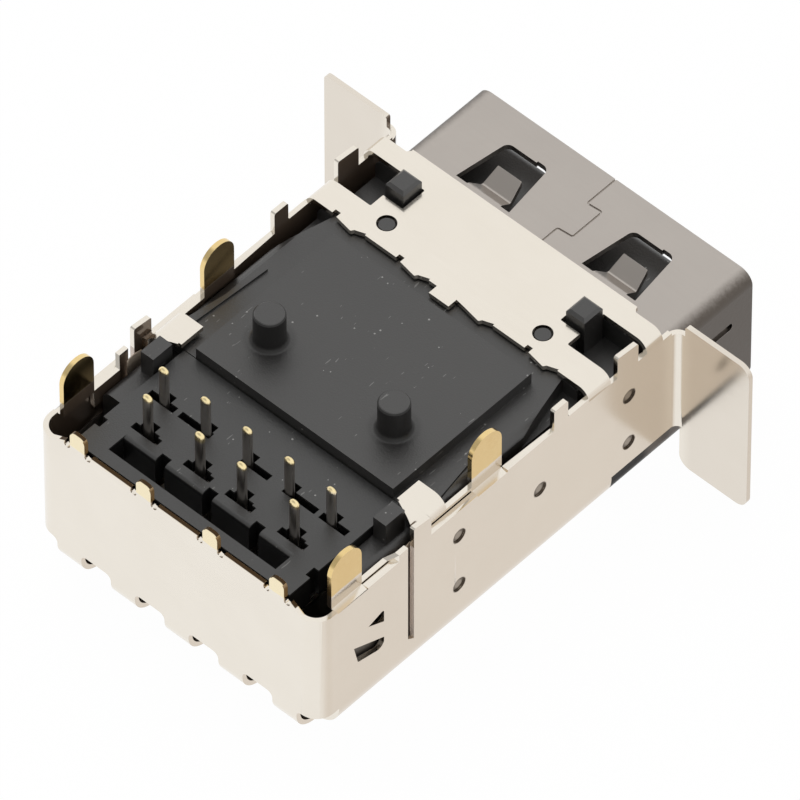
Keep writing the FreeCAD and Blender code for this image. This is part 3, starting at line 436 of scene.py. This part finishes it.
# %% Faces of the shield
SLOT_SPAN = (-7.0, -6.2)
SLOT_TOP = 7.3
WALL_ACROSS = 6.5
INNER_ACROSS = 6.2
INNER_REAR_Y = -10.9
WING_ACROSS = (7.0, 7.6)
MOSTLY = 0.7
PARTLY = 0.5
STRAIGHT = (0.75, 0.98)
faces, given, result = effect(
    "shield faces", ("Crosswise", "Sideways", "Slot side", "Inward", "Wing", "Side wall"),
    vectors=("Vector", "Facing"))
place = axes(faces, given["Vector"])
looks = axes(faces, given["Facing"])
out = calc(faces, "ABSOLUTE", place["X"])
looks_across = calc(faces, "ABSOLUTE", looks["X"])
looks_along = calc(faces, "ABSOLUTE", looks["Y"])
slot_side = every(faces, over(faces, looks_along, MOSTLY), over(faces, out, WALL_ACROSS * MM),
                  over(faces, place["Y"], SLOT_SPAN[0] * MM), under(faces, place["Y"], SLOT_SPAN[1] * MM),
                  under(faces, place["Z"], SLOT_TOP * MM))
outwards = calc(faces, "MULTIPLY", calc(faces, "SIGN", place["X"]), looks["X"])
in_side = every(faces, under(faces, outwards, -PARTLY), over(faces, out, INNER_ACROSS * MM))
in_rear = every(faces, over(faces, looks["Y"], PARTLY), under(faces, place["Y"], INNER_REAR_Y * MM))
give(faces, result, {"Crosswise": under(faces, looks_along, PARTLY),
                     "Sideways": over(faces, looks_across, MOSTLY),
                     "Slot side": slot_side,
                     "Inward": calc(faces, "MAXIMUM", in_side, in_rear),
                     "Wing": ramp(faces, out, WING_ACROSS),
                     "Side wall": span(faces, looks_across, 0.0, 1.0, *STRAIGHT, smooth=True)})

# %% [markdown]
# ### Peg sides
# Two round pegs stand on the insert's pad, and their shafts and feet shine less than the pad, a painted
# shade.
# The mask is a cylinder round each peg's axis, from the pad to just under the peg's flat top.

# %% Peg sides
PEGS = ((-2.98, -3.39), (2.98, -3.39))
PEG_REACH = (1.05, 0.80)
PEG_FOOT = (7.99, 8.05)
PEG_TOP = 9.40
pegs, given, result = effect("peg sides", ("Mask",))
place = axes(pegs, given["Vector"])
close = ramp(pegs, nearest_place(pegs, place["X"], place["Y"], PEGS), PEG_REACH)
shaft = ramp(pegs, place["Z"], PEG_FOOT)
give(pegs, result, {"Mask": every(pegs, close, shaft, under(pegs, place["Z"], PEG_TOP * MM))})

# %% [markdown]
# ### Gilt tip
# The contact tails are gold at their tips. The border is a level on the tail, which the tone of the metal,
# given as Tone, moves up and down a little, so that it isn't a drawn line.

# %% Gilt tip
TIP_FADE = (9.10, 9.30)
TIP_RAGGED = 0.3
gilt, given, result = effect("gilt tip", ("Mask",), amounts=("Tone",))
ragged = calc(gilt, "MULTIPLY", given["Tone"], TIP_RAGGED * MM)
height = calc(gilt, "ADD", axes(gilt, given["Vector"])["Z"], ragged)
give(gilt, result, {"Mask": ramp(gilt, height, TIP_FADE)})

# %% [markdown]
# ## Finishes
# Nickel on the shield is bright and slightly warm. The plug shell is the same metal with a duller, greyer
# skin. The tails were dipped in gold up to a line. The plastic is black with a fine skin and a few specks.
# Each finish starts from one shader with plain values, and the effects then change its colour, roughness
# and bumps from place to place.

# %% Finish helpers
METAL = 1.0
NOT_METAL = 0.0


def finish(name, colour, metallic, roughness):
    """Material with a Principled shader, its plain values and the object's own coordinates."""
    made = bpy.data.materials.new(name)
    made.use_nodes = True
    tree = made.node_tree
    shader = tree.nodes["Principled BSDF"]
    shader.inputs["Base Color"].default_value = (*colour, 1)
    shader.inputs["Metallic"].default_value = metallic
    shader.inputs["Roughness"].default_value = roughness
    where = add(tree, "ShaderNodeTexCoord").outputs["Object"]
    return made, tree, shader, where


def use(tree, group, vector, **inputs):
    """Places an effect in a material at the given coordinates; its other inputs are values or sockets."""
    node = add(tree, "ShaderNodeGroup", node_tree=group)
    tree.links.new(vector, node.inputs["Vector"])
    for key, value in inputs.items():
        feed(tree, value, node.inputs[key])
    return node.outputs


def blend(tree, low, high, mask):
    """Colour between two colours or colour sockets, by a mask."""
    node = add(tree, "ShaderNodeMix", data_type="RGBA")
    tree.links.new(mask, node.inputs["Factor"])
    for socket, value in zip(node.inputs[6:8], (low, high)):
        feed(tree, (*value, 1) if isinstance(value, tuple) else value, socket)
    return node.outputs[2]


def bump(tree, shader, height, strength, distance):
    """Small bumps in the surface from a height value; the distance is in mm."""
    node = add(tree, "ShaderNodeBump", {"Strength": strength, "Distance": distance * MM})
    tree.links.new(height, node.inputs["Height"])
    tree.links.new(node.outputs["Normal"], shader.inputs["Normal"])


# %% [markdown]
# ### Tones of the shield
# The same sheet shows several metals: nickel on its rolled face, gold where it was dipped, and a dark brown
# band along the inner half of the rear wall's upper edge. The inside is painted darker and browner, a
# painted shade, because little white reaches it. What the sheet and its edges have in common is made first,
# and each then adds its own tones.

# %% Tones of the shield
NICKEL = (0.85, 0.80, 0.72)
NICKEL_DULL = (0.81, 0.756, 0.67)
# Painted highlight: paler nickel for the rounded edges.
NICKEL_RIM_HIGHLIGHT = (0.93, 0.89, 0.84)
GOLD = (0.88, 0.70, 0.36)
GOLD_DEEP = (0.78, 0.56, 0.24)
# Painted highlight: paler gold for the rounded edges.
GOLD_RIM_HIGHLIGHT = (0.95, 0.80, 0.48)
PALE_GOLD = (0.90, 0.79, 0.55)
# Painted shade: faces that look straight across are multiplied by this tone.
SIDE_WALL_SHADE = (0.815, 0.765, 0.72)
SHEARED = (0.86, 0.76, 0.68)
# Painted shade on the sides of the rear tabs and on the inside of the walls.
TAB_SIDE_SHADE = (0.36, 0.23, 0.10)
INSIDE_SHADE = (0.20, 0.155, 0.12)
# Painted shade: the wings are blended towards this darker tone.
WING_SHADE = (0.60, 0.53, 0.46)
WING_SHADE_SHARE = 0.35
# Near-black brown along the inner half of the rear wall's upper edge.
REAR_EDGE_BROWN = (0.060, 0.036, 0.018)
WELD_RING = (0.13, 0.105, 0.08)
WELD_CORE = (0.33, 0.29, 0.245)
SHEET_ROUGH_PLAY = 0.04


def shield_base(name, bright, dull, gold, gold_deep, roughness):
    """Rolled sheet with gold in the plated zone and brown spots at the welds, ready for its last tones."""
    made, tree, shader, where = finish(name, bright, METAL, roughness)
    rolled = use(tree, grain, where, Lines=0.6, Cloud=1.0)
    plated = use(tree, zone, where)
    heat = use(tree, spots, where)
    seen = use(tree, faces, where, Facing=tree.nodes["Texture Coordinate"].outputs["Normal"])
    tone = span(tree, rolled["Tone"], 0.0, 1.0)
    colour = blend(tree, dull, bright, tone)
    colour = blend(tree, colour, blend(tree, gold_deep, gold, tone), plated["Mask"])
    colour = blend(tree, colour, WELD_RING, heat["Ring"])
    colour = blend(tree, colour, WELD_CORE, heat["Core"])
    rough = span(tree, rolled["Tone"], roughness + SHEET_ROUGH_PLAY, roughness - SHEET_ROUGH_PLAY)
    tree.links.new(rough, shader.inputs["Roughness"])
    bump(tree, shader, rolled["Height"], strength=0.08, distance=0.002)
    return made, tree, shader, colour, plated, seen


def paint_side_shade(tree, shader, colour, seen):
    """Painted shade on the sheet: its wings and the faces that look sideways are made a little darker and
    warmer.
    """
    colour = blend(tree, colour, WING_SHADE, calc(tree, "MULTIPLY", seen["Wing"], WING_SHADE_SHARE))
    toned = add(tree, "ShaderNodeMix", data_type="RGBA", blend_type="MULTIPLY")
    tree.links.new(seen["Side wall"], toned.inputs["Factor"])
    tree.links.new(colour, toned.inputs[6])
    toned.inputs[7].default_value = (*SIDE_WALL_SHADE, 1)
    tree.links.new(toned.outputs[2], shader.inputs["Base Color"])


# %% [markdown]
# ### Nickel sheet
# The rear wall is pale gold above its line, and the inner half of its upper edge is dark brown. The cut
# sides of the slots are duller than plated sheet. The sides of the rear tabs and the inside of the walls are
# painted dark, a painted shade. In all three places the finish is less metallic as well.

# %% Nickel sheet
LOW_METALLIC = 0.15
INSIDE_LOW_METAL_SHARE = 0.75
nickel, tree, shader, colour, plated, seen = shield_base(
    "nickel sheet", NICKEL, NICKEL_DULL, GOLD, GOLD_DEEP, roughness=0.17)
# Painted shade: the sides of the rear tabs and the inside of the walls are painted dark and made less
# metallic.
tab_side_shade = every(tree, seen["Sideways"], plated["Rear"])
hidden = calc(tree, "SUBTRACT", seen["Inward"], plated["Mask"])
colour = blend(tree, colour, PALE_GOLD, plated["Rear"])
colour = blend(tree, colour, REAR_EDGE_BROWN, every(tree, seen["Crosswise"], plated["Inner"]))
colour = blend(tree, colour, SHEARED, seen["Slot side"])
colour = blend(tree, colour, TAB_SIDE_SHADE, tab_side_shade)
colour = blend(tree, colour, INSIDE_SHADE, hidden)
cut_and_shaded_part = calc(tree, "MAXIMUM", seen["Slot side"], tab_side_shade)
cut_and_shaded_part = calc(tree, "MAXIMUM", cut_and_shaded_part, calc(tree, "MULTIPLY", hidden, INSIDE_LOW_METAL_SHARE))
tree.links.new(span(tree, cut_and_shaded_part, METAL, LOW_METALLIC, 0.0, 1.0), shader.inputs["Metallic"])
paint_side_shade(tree, shader, colour, seen)
print("finish:", nickel.name)

# %% [markdown]
# ### Nickel edge
# The rounded strip along each edge of the sheet catches the light, and its paler nickel is a painted
# highlight.
# It is gold on the tails and along the upper edge of the rear wall, in a paler gold that is a painted
# highlight too.

# %% Nickel edge
nickel_edge_highlight, tree, shader, colour, plated, seen = shield_base(
    "nickel edge highlight", NICKEL_RIM_HIGHLIGHT, NICKEL, GOLD_RIM_HIGHLIGHT, GOLD, roughness=0.34)
colour = blend(tree, colour, GOLD_RIM_HIGHLIGHT, calc(tree, "MAXIMUM", plated["Rear"], plated["Rim"]))
paint_side_shade(tree, shader, colour, seen)
print("finish:", nickel_edge_highlight.name)

# %% [markdown]
# ### Satin nickel of the plug shell
# Broad faces are mid grey and smooth, the drawn corners are grainy, and the narrow sides are painted dark, a
# painted shade. Inside the shield the shell is painted nearly black, a painted shade, and its rounded edges
# are paler, a painted highlight.

# %% Plug shell finishes
SATIN = (0.487, 0.450, 0.415)
SATIN_DULL = (0.448, 0.412, 0.382)
# Painted shade on the narrow sides and inside the shield; painted highlight on the rounded edges.
SATIN_SIDE_SHADE = (0.115, 0.099, 0.086)
SATIN_RIM_HIGHLIGHT = (0.62, 0.57, 0.53)
SATIN_RIM_SIDE_HIGHLIGHT_AND_SHADE = (0.42, 0.39, 0.36)
COVERED_SHADE = (0.012, 0.010, 0.009)
GRAIN_TONE = 3.4
GRAIN_HEIGHT = 10.0
SIDE_ROUGHER = 0.12


def shell_finish(name, bright, dull, side, roughness):
    """Satin sheet with grainy drawn corners, rougher sides with a painted shade, and painted shade inside
    the shield.
    """
    made, tree, shader, where = finish(name, bright, METAL, roughness)
    rolled = use(tree, grain, where, Lines=0.5, Cloud=1.2)
    bend = use(tree, drawn, where)
    tone = calc(tree, "ADD", rolled["Tone"], calc(tree, "MULTIPLY", bend["Grain"], GRAIN_TONE))
    colour = blend(tree, dull, bright, span(tree, tone, 0.0, 1.0))
    colour = blend(tree, colour, side, bend["Side"])
    tree.links.new(blend(tree, colour, COVERED_SHADE, bend["Covered"]), shader.inputs["Base Color"])
    rough = span(tree, bend["Side"], roughness, roughness + SIDE_ROUGHER, 0.0, 1.0)
    tree.links.new(rough, shader.inputs["Roughness"])
    height = calc(tree, "ADD", rolled["Height"], calc(tree, "MULTIPLY", bend["Grain"], GRAIN_HEIGHT))
    bump(tree, shader, height, strength=0.24, distance=0.004)
    return made


shell_nickel = shell_finish("satin nickel", SATIN, SATIN_DULL, SATIN_SIDE_SHADE, roughness=0.30)
shell_edge_highlight = shell_finish("satin nickel edge highlight", SATIN_RIM_HIGHLIGHT, SATIN, SATIN_RIM_SIDE_HIGHLIGHT_AND_SHADE, roughness=0.26)
print("finishes:", shell_nickel.name, "and", shell_edge_highlight.name)

# %% [markdown]
# ### Black plastic
# A moulded face has a deep and a worn tone. The insert's pad is a little paler than the tail guide, so each
# part has its own pair of tones, and a paler pair for its rounded edges, a painted highlight. Two places get
# a
# painted shade: the sides of the pegs, and the tail guide below its upper face. There a second shader in the
# deep tone with a weaker shine is laid over the first, because a shader's own shine is kept one plain
# number.

# %% Plastic finishes
INSERT_TONES = ((0.014, 0.0135, 0.0132), (0.024, 0.023, 0.022))
# Painted highlight: paler tones for the rounded edges.
INSERT_EDGE_HIGHLIGHT_TONES = ((0.030, 0.030, 0.029), (0.040, 0.039, 0.038))
GUIDE_TONES = ((0.010, 0.010, 0.010), (0.018, 0.018, 0.0175))
GUIDE_EDGE_HIGHLIGHT_TONES = ((0.022, 0.022, 0.022), (0.030, 0.030, 0.030))
SPECK_TONE = (0.30, 0.30, 0.29)
MOULDED_SHINE = 0.98
# Painted shade on the pegs and in the comb slots of the tail guide.
PEG_SHADE_SHINE = 0.40
GUIDE_SHADE_SHINE = 0.14
GUIDE_SHADE_BELOW = (0.06, 0.11)
SHADE_ROUGHNESS = 0.50
MOULDED_ROUGH_PLAY = 0.05


def moulded_finish(name, tones, roughness, specks):
    """Black plastic between its deep and its worn tone, with a fine skin and pale specks."""
    made, tree, shader, where = finish(name, tones[0], NOT_METAL, roughness)
    shader.inputs["Specular IOR Level"].default_value = MOULDED_SHINE
    surface = use(tree, skin, where, Specks=specks)
    body = blend(tree, *tones, span(tree, surface["Tone"], 0.0, 1.0))
    tree.links.new(blend(tree, body, SPECK_TONE, surface["Speck"]), shader.inputs["Base Color"])
    rough = span(tree, surface["Tone"], roughness - MOULDED_ROUGH_PLAY, roughness + MOULDED_ROUGH_PLAY)
    tree.links.new(rough, shader.inputs["Roughness"])
    bump(tree, shader, surface["Height"], strength=0.80, distance=0.014)
    return made, tree, where


def lay_painted_shade(tree, tone, shine, mask):
    """Painted shade: lays a second shader of one tone and a weaker shine over the first, where the mask is
    1.
    """
    dull = add(tree, "ShaderNodeBsdfPrincipled", {"Base Color": (*tone, 1), "Roughness": SHADE_ROUGHNESS,
                                                  "Specular IOR Level": shine})
    both = add(tree, "ShaderNodeMixShader")
    tree.links.new(mask, both.inputs[0])
    tree.links.new(tree.nodes["Principled BSDF"].outputs[0], both.inputs[1])
    tree.links.new(dull.outputs[0], both.inputs[2])
    tree.links.new(both.outputs[0], tree.nodes["Material Output"].inputs["Surface"])


def insert_finish(name, tones, roughness, specks):
    """Plastic of the insert, with a painted shade on its pegs."""
    made, tree, where = moulded_finish(name, tones, roughness, specks)
    lay_painted_shade(tree, tones[0], PEG_SHADE_SHINE, use(tree, pegs, where)["Mask"])
    return made


insert_plastic = insert_finish("insert moulding", INSERT_TONES, roughness=0.38, specks=0.8)
insert_edge_highlight = insert_finish("insert moulding edge highlight", INSERT_EDGE_HIGHLIGHT_TONES, roughness=0.34, specks=0.0)
guide_plastic, tree, where = moulded_finish("guide moulding", GUIDE_TONES, roughness=0.40, specks=0.8)
guide_top = max(vert.co.z for vert in nodes["tail_guide"].data.vertices) / MM
# Painted shade in the comb slots: below its upper face the guide takes its deepest tone and a weak shine.
deep = ramp(tree, axes(tree, where)["Z"], [guide_top - below for below in GUIDE_SHADE_BELOW])
lay_painted_shade(tree, GUIDE_TONES[0], GUIDE_SHADE_SHINE, deep)
guide_edge_highlight = moulded_finish("guide moulding edge highlight", GUIDE_EDGE_HIGHLIGHT_TONES, roughness=0.36, specks=0.0)[0]
print("guide's upper face at", round(guide_top, 2), "mm")

# %% [markdown]
# ### Contact metal
# The tails are smooth enough to mirror the black plastic round them, so their shafts look dark although the
# metal is bright. The gilt tip effect makes their ends gold.

# %% Contact finishes
CONTACT_METAL = (0.72, 0.69, 0.65)
CONTACT_RIM = (0.66, 0.61, 0.55)
CONTACT_WORN = (0.50, 0.46, 0.42)
TIP_GOLD = (0.95, 0.80, 0.46)
TIP_RIM = (0.96, 0.84, 0.58)


def contact_finish(name, metal, gold, roughness):
    """Smooth metal that is worn in places, with a gold tip."""
    made, tree, shader, where = finish(name, metal, METAL, roughness)
    rolled = use(tree, grain, where, Lines=0.4, Cloud=1.6)
    body = blend(tree, metal, CONTACT_WORN, span(tree, rolled["Tone"], 0.0, 1.0))
    tip = use(tree, gilt, where, Tone=rolled["Tone"])
    tree.links.new(blend(tree, body, gold, tip["Mask"]), shader.inputs["Base Color"])
    bump(tree, shader, rolled["Height"], strength=0.15, distance=0.003)
    return made


contact_metal = contact_finish("contact metal", CONTACT_METAL, TIP_GOLD, roughness=0.29)
contact_rim = contact_finish("contact rim", CONTACT_RIM, TIP_RIM, roughness=0.20)
print("finishes:", [m.name for m in bpy.data.materials])

# %% [markdown]
# ## Rounded edges
# A computer's edge is sharp, and a sharp edge never catches light. Real sheared and moulded edges have a
# small radius that shows as a bright line. Each solid is copied, its loose triangles are joined, flat faces
# are made whole again, and a narrow bevel with its own finish is laid on every sharp edge; on the sheet, the
# plug shell and the plastic that finish is paler, a painted highlight. The normals are then weighted by
# area, so that flat faces stay flat right up to the rounding.

# %% Rounded copies
JOIN_WITHIN = 0.0005
FLAT_ANGLE = math.radians(0.5)
SHARP_ANGLE = math.radians(28.0)
ROUND_STEPS = 2


def rounded_copy(node, finishes, width, carve=None):
    """Copy of a solid, carved if asked, whose sharp edges get a rounded strip of the second finish."""
    shape = bmesh.new()
    shape.from_mesh(nodes[node].data)
    if carve:
        carve(shape)
    bmesh.ops.remove_doubles(shape, verts=shape.verts, dist=JOIN_WITHIN * MM)
    bmesh.ops.dissolve_limit(shape, angle_limit=FLAT_ANGLE, verts=shape.verts, edges=shape.edges)
    mesh = bpy.data.meshes.new(node + "_surface")
    shape.to_mesh(mesh)
    shape.free()
    for one in finishes:
        mesh.materials.append(one)
    mesh.polygons.foreach_set("material_index", np.zeros(len(mesh.polygons), np.int32))
    mesh.shade_smooth()
    mesh.set_sharp_from_angle(angle=SHARP_ANGLE)
    piece = bpy.data.objects.new(node + "_surface", mesh)
    bpy.context.scene.collection.objects.link(piece)
    soft = piece.modifiers.new("rounded", "BEVEL")
    soft.width = width * MM
    soft.segments = ROUND_STEPS
    soft.limit_method = "ANGLE"
    soft.angle_limit = SHARP_ANGLE
    soft.use_clamp_overlap = True
    soft.material = 1
    flat = piece.modifiers.new("flat", "WEIGHTED_NORMAL")
    flat.mode = "FACE_AREA"
    flat.keep_sharp = True
    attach(piece, "root")
    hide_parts(node)
    return piece


# %% [markdown]
# ## Carving the shield's upper edges
# The sheet's edges at the slits were stretched up when the tails were set inwards, so the wall's edge runs
# on at nearly one level past both tails. The copy's edge points are moved to that level, which leaves a
# slit as thin as the real one. Each row names between which planes and how far along the points lie, the
# level that they leave, the level that they get and how far the inner ones move in, all in millimetres. A
# tail's top points are gathered to its middle, which closes its crown.

# %% Carving
WALL_PLANES = (6.55, 6.85)
STRIP_PLANES = (6.25, 6.55)
WALL_MIDDLE = 6.7
EDGE_ROWS = (
    (WALL_PLANES, (-8.87, -7.30), 6.63, 7.21, 0.07),
    (WALL_PLANES, (-7.30, -7.24), 6.63, 7.21, 0.0),
    (WALL_PLANES, (-10.43, -8.84), 6.73, 7.16, 0.0),
    (WALL_PLANES, (-10.43, -8.84), 6.93, 7.19, 0.0),
    (STRIP_PLANES, (-10.43, -8.84), 7.03, 7.21, 0.0),
    (STRIP_PLANES, (-8.88, -8.80), 6.83, 7.19, 0.0),
    (STRIP_PLANES, (-8.87, -7.50), 7.43, 7.29, 0.0),
    (WALL_PLANES, (-7.28, -6.70), 7.43, 7.57, 0.0),
    (WALL_PLANES, (-5.63, -3.20), 7.09, 7.25, 0.07),
    (WALL_PLANES, (-3.23, -1.64), 6.73, 7.17, 0.0),
    (WALL_PLANES, (-3.23, -1.64), 6.93, 7.19, 0.0),
    (STRIP_PLANES, (-3.23, -1.64), 7.03, 7.21, 0.0),
    (WALL_PLANES, (-1.68, -1.60), 7.53, 7.26, 0.08),
    (WALL_PLANES, (-1.60, 0.80), 7.53, 7.26, 0.0),
)
SAME_LEVEL = 0.005
TAIL_MIDDLES = (-9.635, -2.435)
TAIL_CROWN = 9.585


def carve_shield(shape):
    """Moves the wall's edge points to their levels, narrows the slits and closes each tail's crown."""
    for vert in shape.verts:
        across, along, level = abs(vert.co.x) / MM, vert.co.y / MM, vert.co.z / MM
        for planes, reach, old, new, inwards in EDGE_ROWS:
            inside = planes[0] < across < planes[1] and reach[0] < along < reach[1]
            if inside and abs(level - old) < SAME_LEVEL:
                vert.co.z = new * MM
                if across < WALL_MIDDLE:
                    vert.co.x -= math.copysign(inwards * MM, vert.co.x)
                break
        if level > TAIL_CROWN:
            vert.co.y = min(TAIL_MIDDLES, key=lambda middle: abs(middle - along)) * MM


# %% [markdown]
# ## Cutting the tails for their rounded ends
# A stamped tail is rolled round after it is cut, so above the tail guide it is a rod with a soft end and no
# corners. The copy of each contact stops just inside the guide, and the rod that is made further down goes
# on.

# %% Cutting the tails
ROD_START = 7.20


def cut_tail(shape):
    """Takes away all of a contact above the level where its rod begins."""
    everything = shape.verts[:] + shape.edges[:] + shape.faces[:]
    bmesh.ops.bisect_plane(shape, geom=everything, plane_co=(0, 0, ROD_START * MM), plane_no=(0, 0, 1),
                           clear_outer=True)


# %% [markdown]
# ## Dressing the solids
# Each solid gets its copy with the width of its rounding in millimetres: narrow on the sheet, wider on the
# drawn shell.

# %% Dressing the solids
surfaces = [
    rounded_copy("outer_shield", (nickel, nickel_edge_highlight), width=0.03, carve=carve_shield),
    rounded_copy("inner_shell", (shell_nickel, shell_edge_highlight), width=0.05),
    rounded_copy("insert", (insert_plastic, insert_edge_highlight), width=0.035),
    rounded_copy("tail_guide", (guide_plastic, guide_edge_highlight), width=0.02),
]
contacts = [name for name in sorted(nodes) if "contact" in name]
for name in contacts:
    surfaces.append(rounded_copy(name, (contact_metal, contact_rim), width=0.03, carve=cut_tail))
print("surfaces:", len(surfaces))

# %% [markdown]
# ## Surfaces on a grid
# The rods and linings are grids of points worked out with numpy. Neighbouring rows and columns are joined by
# four-sided faces, all at once from one table of point numbers, and points that fall together are merged.

# %% Grid pieces
SAME_POINT = 0.0001


def grid_piece(name, rows, finish_used, close):
    """Surface through rows of points; close joins the last column to the first."""
    count, wide = rows.shape[:2]
    number = np.arange(count * wide).reshape(count, wide)
    if close:
        number = np.column_stack([number, number[:, 0]])
    corners = np.stack([number[:-1, :-1], number[:-1, 1:], number[1:, 1:], number[1:, :-1]], axis=-1)
    mesh = bpy.data.meshes.new(name)
    mesh.from_pydata(rows.reshape(-1, 3).tolist(), [], corners.reshape(-1, 4).tolist())
    shape = bmesh.new()
    shape.from_mesh(mesh)
    bmesh.ops.remove_doubles(shape, verts=shape.verts, dist=SAME_POINT * MM)
    shape.to_mesh(mesh)
    shape.free()
    mesh.materials.append(finish_used)
    mesh.shade_smooth()
    piece = bpy.data.objects.new(name, mesh)
    bpy.context.scene.collection.objects.link(piece)
    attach(piece, "root")
    return piece


# %% [markdown]
# ## The rods of the tails
# A rod is a grid of rings. Each ring is a rounded rectangle, written as a superellipse, and the last rings
# shrink along a quarter of an ellipse, which makes the soft end. The rings could also come from a bevelled
# box, but a bevel on so thin a bar runs into itself at the end.

# %% Rods
ROD_HALF = (0.22, 0.12)
ROD_TOPS = {"front": (-7.71, 9.38), "rear": (-9.07, 9.49)}
ROD_ACROSS = {"front": (-4.0, -2.0, 0.0, 2.0, 4.0), "rear": (-3.5, -1.0, 1.0, 3.5)}
ROD_DOME = 0.20
ROD_ROUND = 2.4
RING_POINTS = 32
SHAFT_RINGS = 6
DOME_RINGS = 8


def rod_rows(x, y, top):
    """Rings of |x/a|^n + |y/b|^n = 1, even up to the dome and then shrinking like a quarter ellipse."""
    turn = np.linspace(0.0, 2.0 * np.pi, RING_POINTS, endpoint=False)
    power = 2.0 / ROD_ROUND
    ring_x = ROD_HALF[0] * np.sign(np.cos(turn)) * np.abs(np.cos(turn)) ** power
    ring_y = ROD_HALF[1] * np.sign(np.sin(turn)) * np.abs(np.sin(turn)) ** power
    dome = np.linspace(0.0, np.pi / 2, DOME_RINGS + 1)[1:]
    rise = np.concatenate([np.linspace(ROD_START, top - ROD_DOME, SHAFT_RINGS),
                           top - ROD_DOME + ROD_DOME * np.sin(dome)])
    shrink = np.concatenate([np.ones(SHAFT_RINGS), np.cos(dome)])
    rows = np.empty((len(rise), len(turn), 3))
    rows[..., 0] = x + shrink[:, None] * ring_x
    rows[..., 1] = y + shrink[:, None] * ring_y
    rows[..., 2] = rise[:, None]
    return rows * MM


rods = []
for name in contacts:
    row, number = name.split("_")[0], int(name.split("_")[2])
    y, top = ROD_TOPS[row]
    x = ROD_ACROSS[row][number - 1]
    rods.append(grid_piece(name + "_rod", rod_rows(x, y, top), contact_metal, close=True))
print("rods:", len(rods))

# %% [markdown]
# ## Linings behind the slots and latches
# Through the tall slot in each side wall one sees a brownish sheet, partly a fold of sheet and partly
# painted shade, and behind each latch a darker sheet that is painted shade, not the far side of the part. A
# thin strip that bows outwards stands behind each opening.

# %% Linings
SLOT_LINING = ((-7.05, -6.30), (2.25, 7.20))
LATCH_LINING = ((-9.85, -7.85), (2.95, 5.50))
LINING_OUT = 6.50
LINING_BOW = 0.05
LINING_SHEET = 0.04
LINING_ROWS = 12
LINING_COLUMNS = 9
LINING_ROUGHNESS = 0.45
# Painted shade: the slot lining is partly a fold of sheet and partly painted shade, the latch lining a dark
# sheet standing in for shade.
SLOT_FOLD_AND_SHADE_BROWN = ((0.44, 0.35, 0.26), (0.58, 0.49, 0.40))
LATCH_SHADE_BROWN = ((0.060, 0.050, 0.042), (0.120, 0.100, 0.085))


def lining_rows(side, along, up):
    """Upright strip, x = out - bow (2t - 1)^2 with t from 0 to 1 along the part, facing outwards."""
    share = np.linspace(0.0, 1.0, LINING_COLUMNS)
    rows = np.empty((LINING_ROWS, LINING_COLUMNS, 3))
    rows[..., 0] = side * (LINING_OUT - LINING_BOW * (2.0 * share - 1.0) ** 2)[None, :]
    rows[..., 1] = (along[0] + (along[1] - along[0]) * share)[None, :]
    rows[..., 2] = np.linspace(*up, LINING_ROWS)[:, None]
    return rows[:, ::side] * MM


def lining_finish(name, tones, metallic):
    """Dull sheet between a dark and a light tone."""
    made, tree, shader, where = finish(name, tones[1], metallic, LINING_ROUGHNESS)
    rolled = use(tree, grain, where, Lines=0.8, Cloud=1.0)
    colour = blend(tree, *tones, span(tree, rolled["Tone"], 0.0, 1.0))
    tree.links.new(colour, shader.inputs["Base Color"])
    bump(tree, shader, rolled["Height"], strength=0.1, distance=0.002)
    return made


openings = (("slot", SLOT_LINING, lining_finish("brown fold and painted shade", SLOT_FOLD_AND_SHADE_BROWN, metallic=0.35)),
            ("latch", LATCH_LINING, lining_finish("latch painted shade", LATCH_SHADE_BROWN, metallic=0.10)))
linings = []
for side, word in ((1, "right"), (-1, "left")):
    for title, (along, up), used in openings:
        rows = lining_rows(side, along, up)
        lining = grid_piece(title + "_lining_" + word, rows, used, close=False)
        thick = lining.modifiers.new("sheet", "SOLIDIFY")
        thick.thickness = LINING_SHEET * MM
        thick.offset = -1.0
        linings.append(lining)
print("linings:", len(linings))
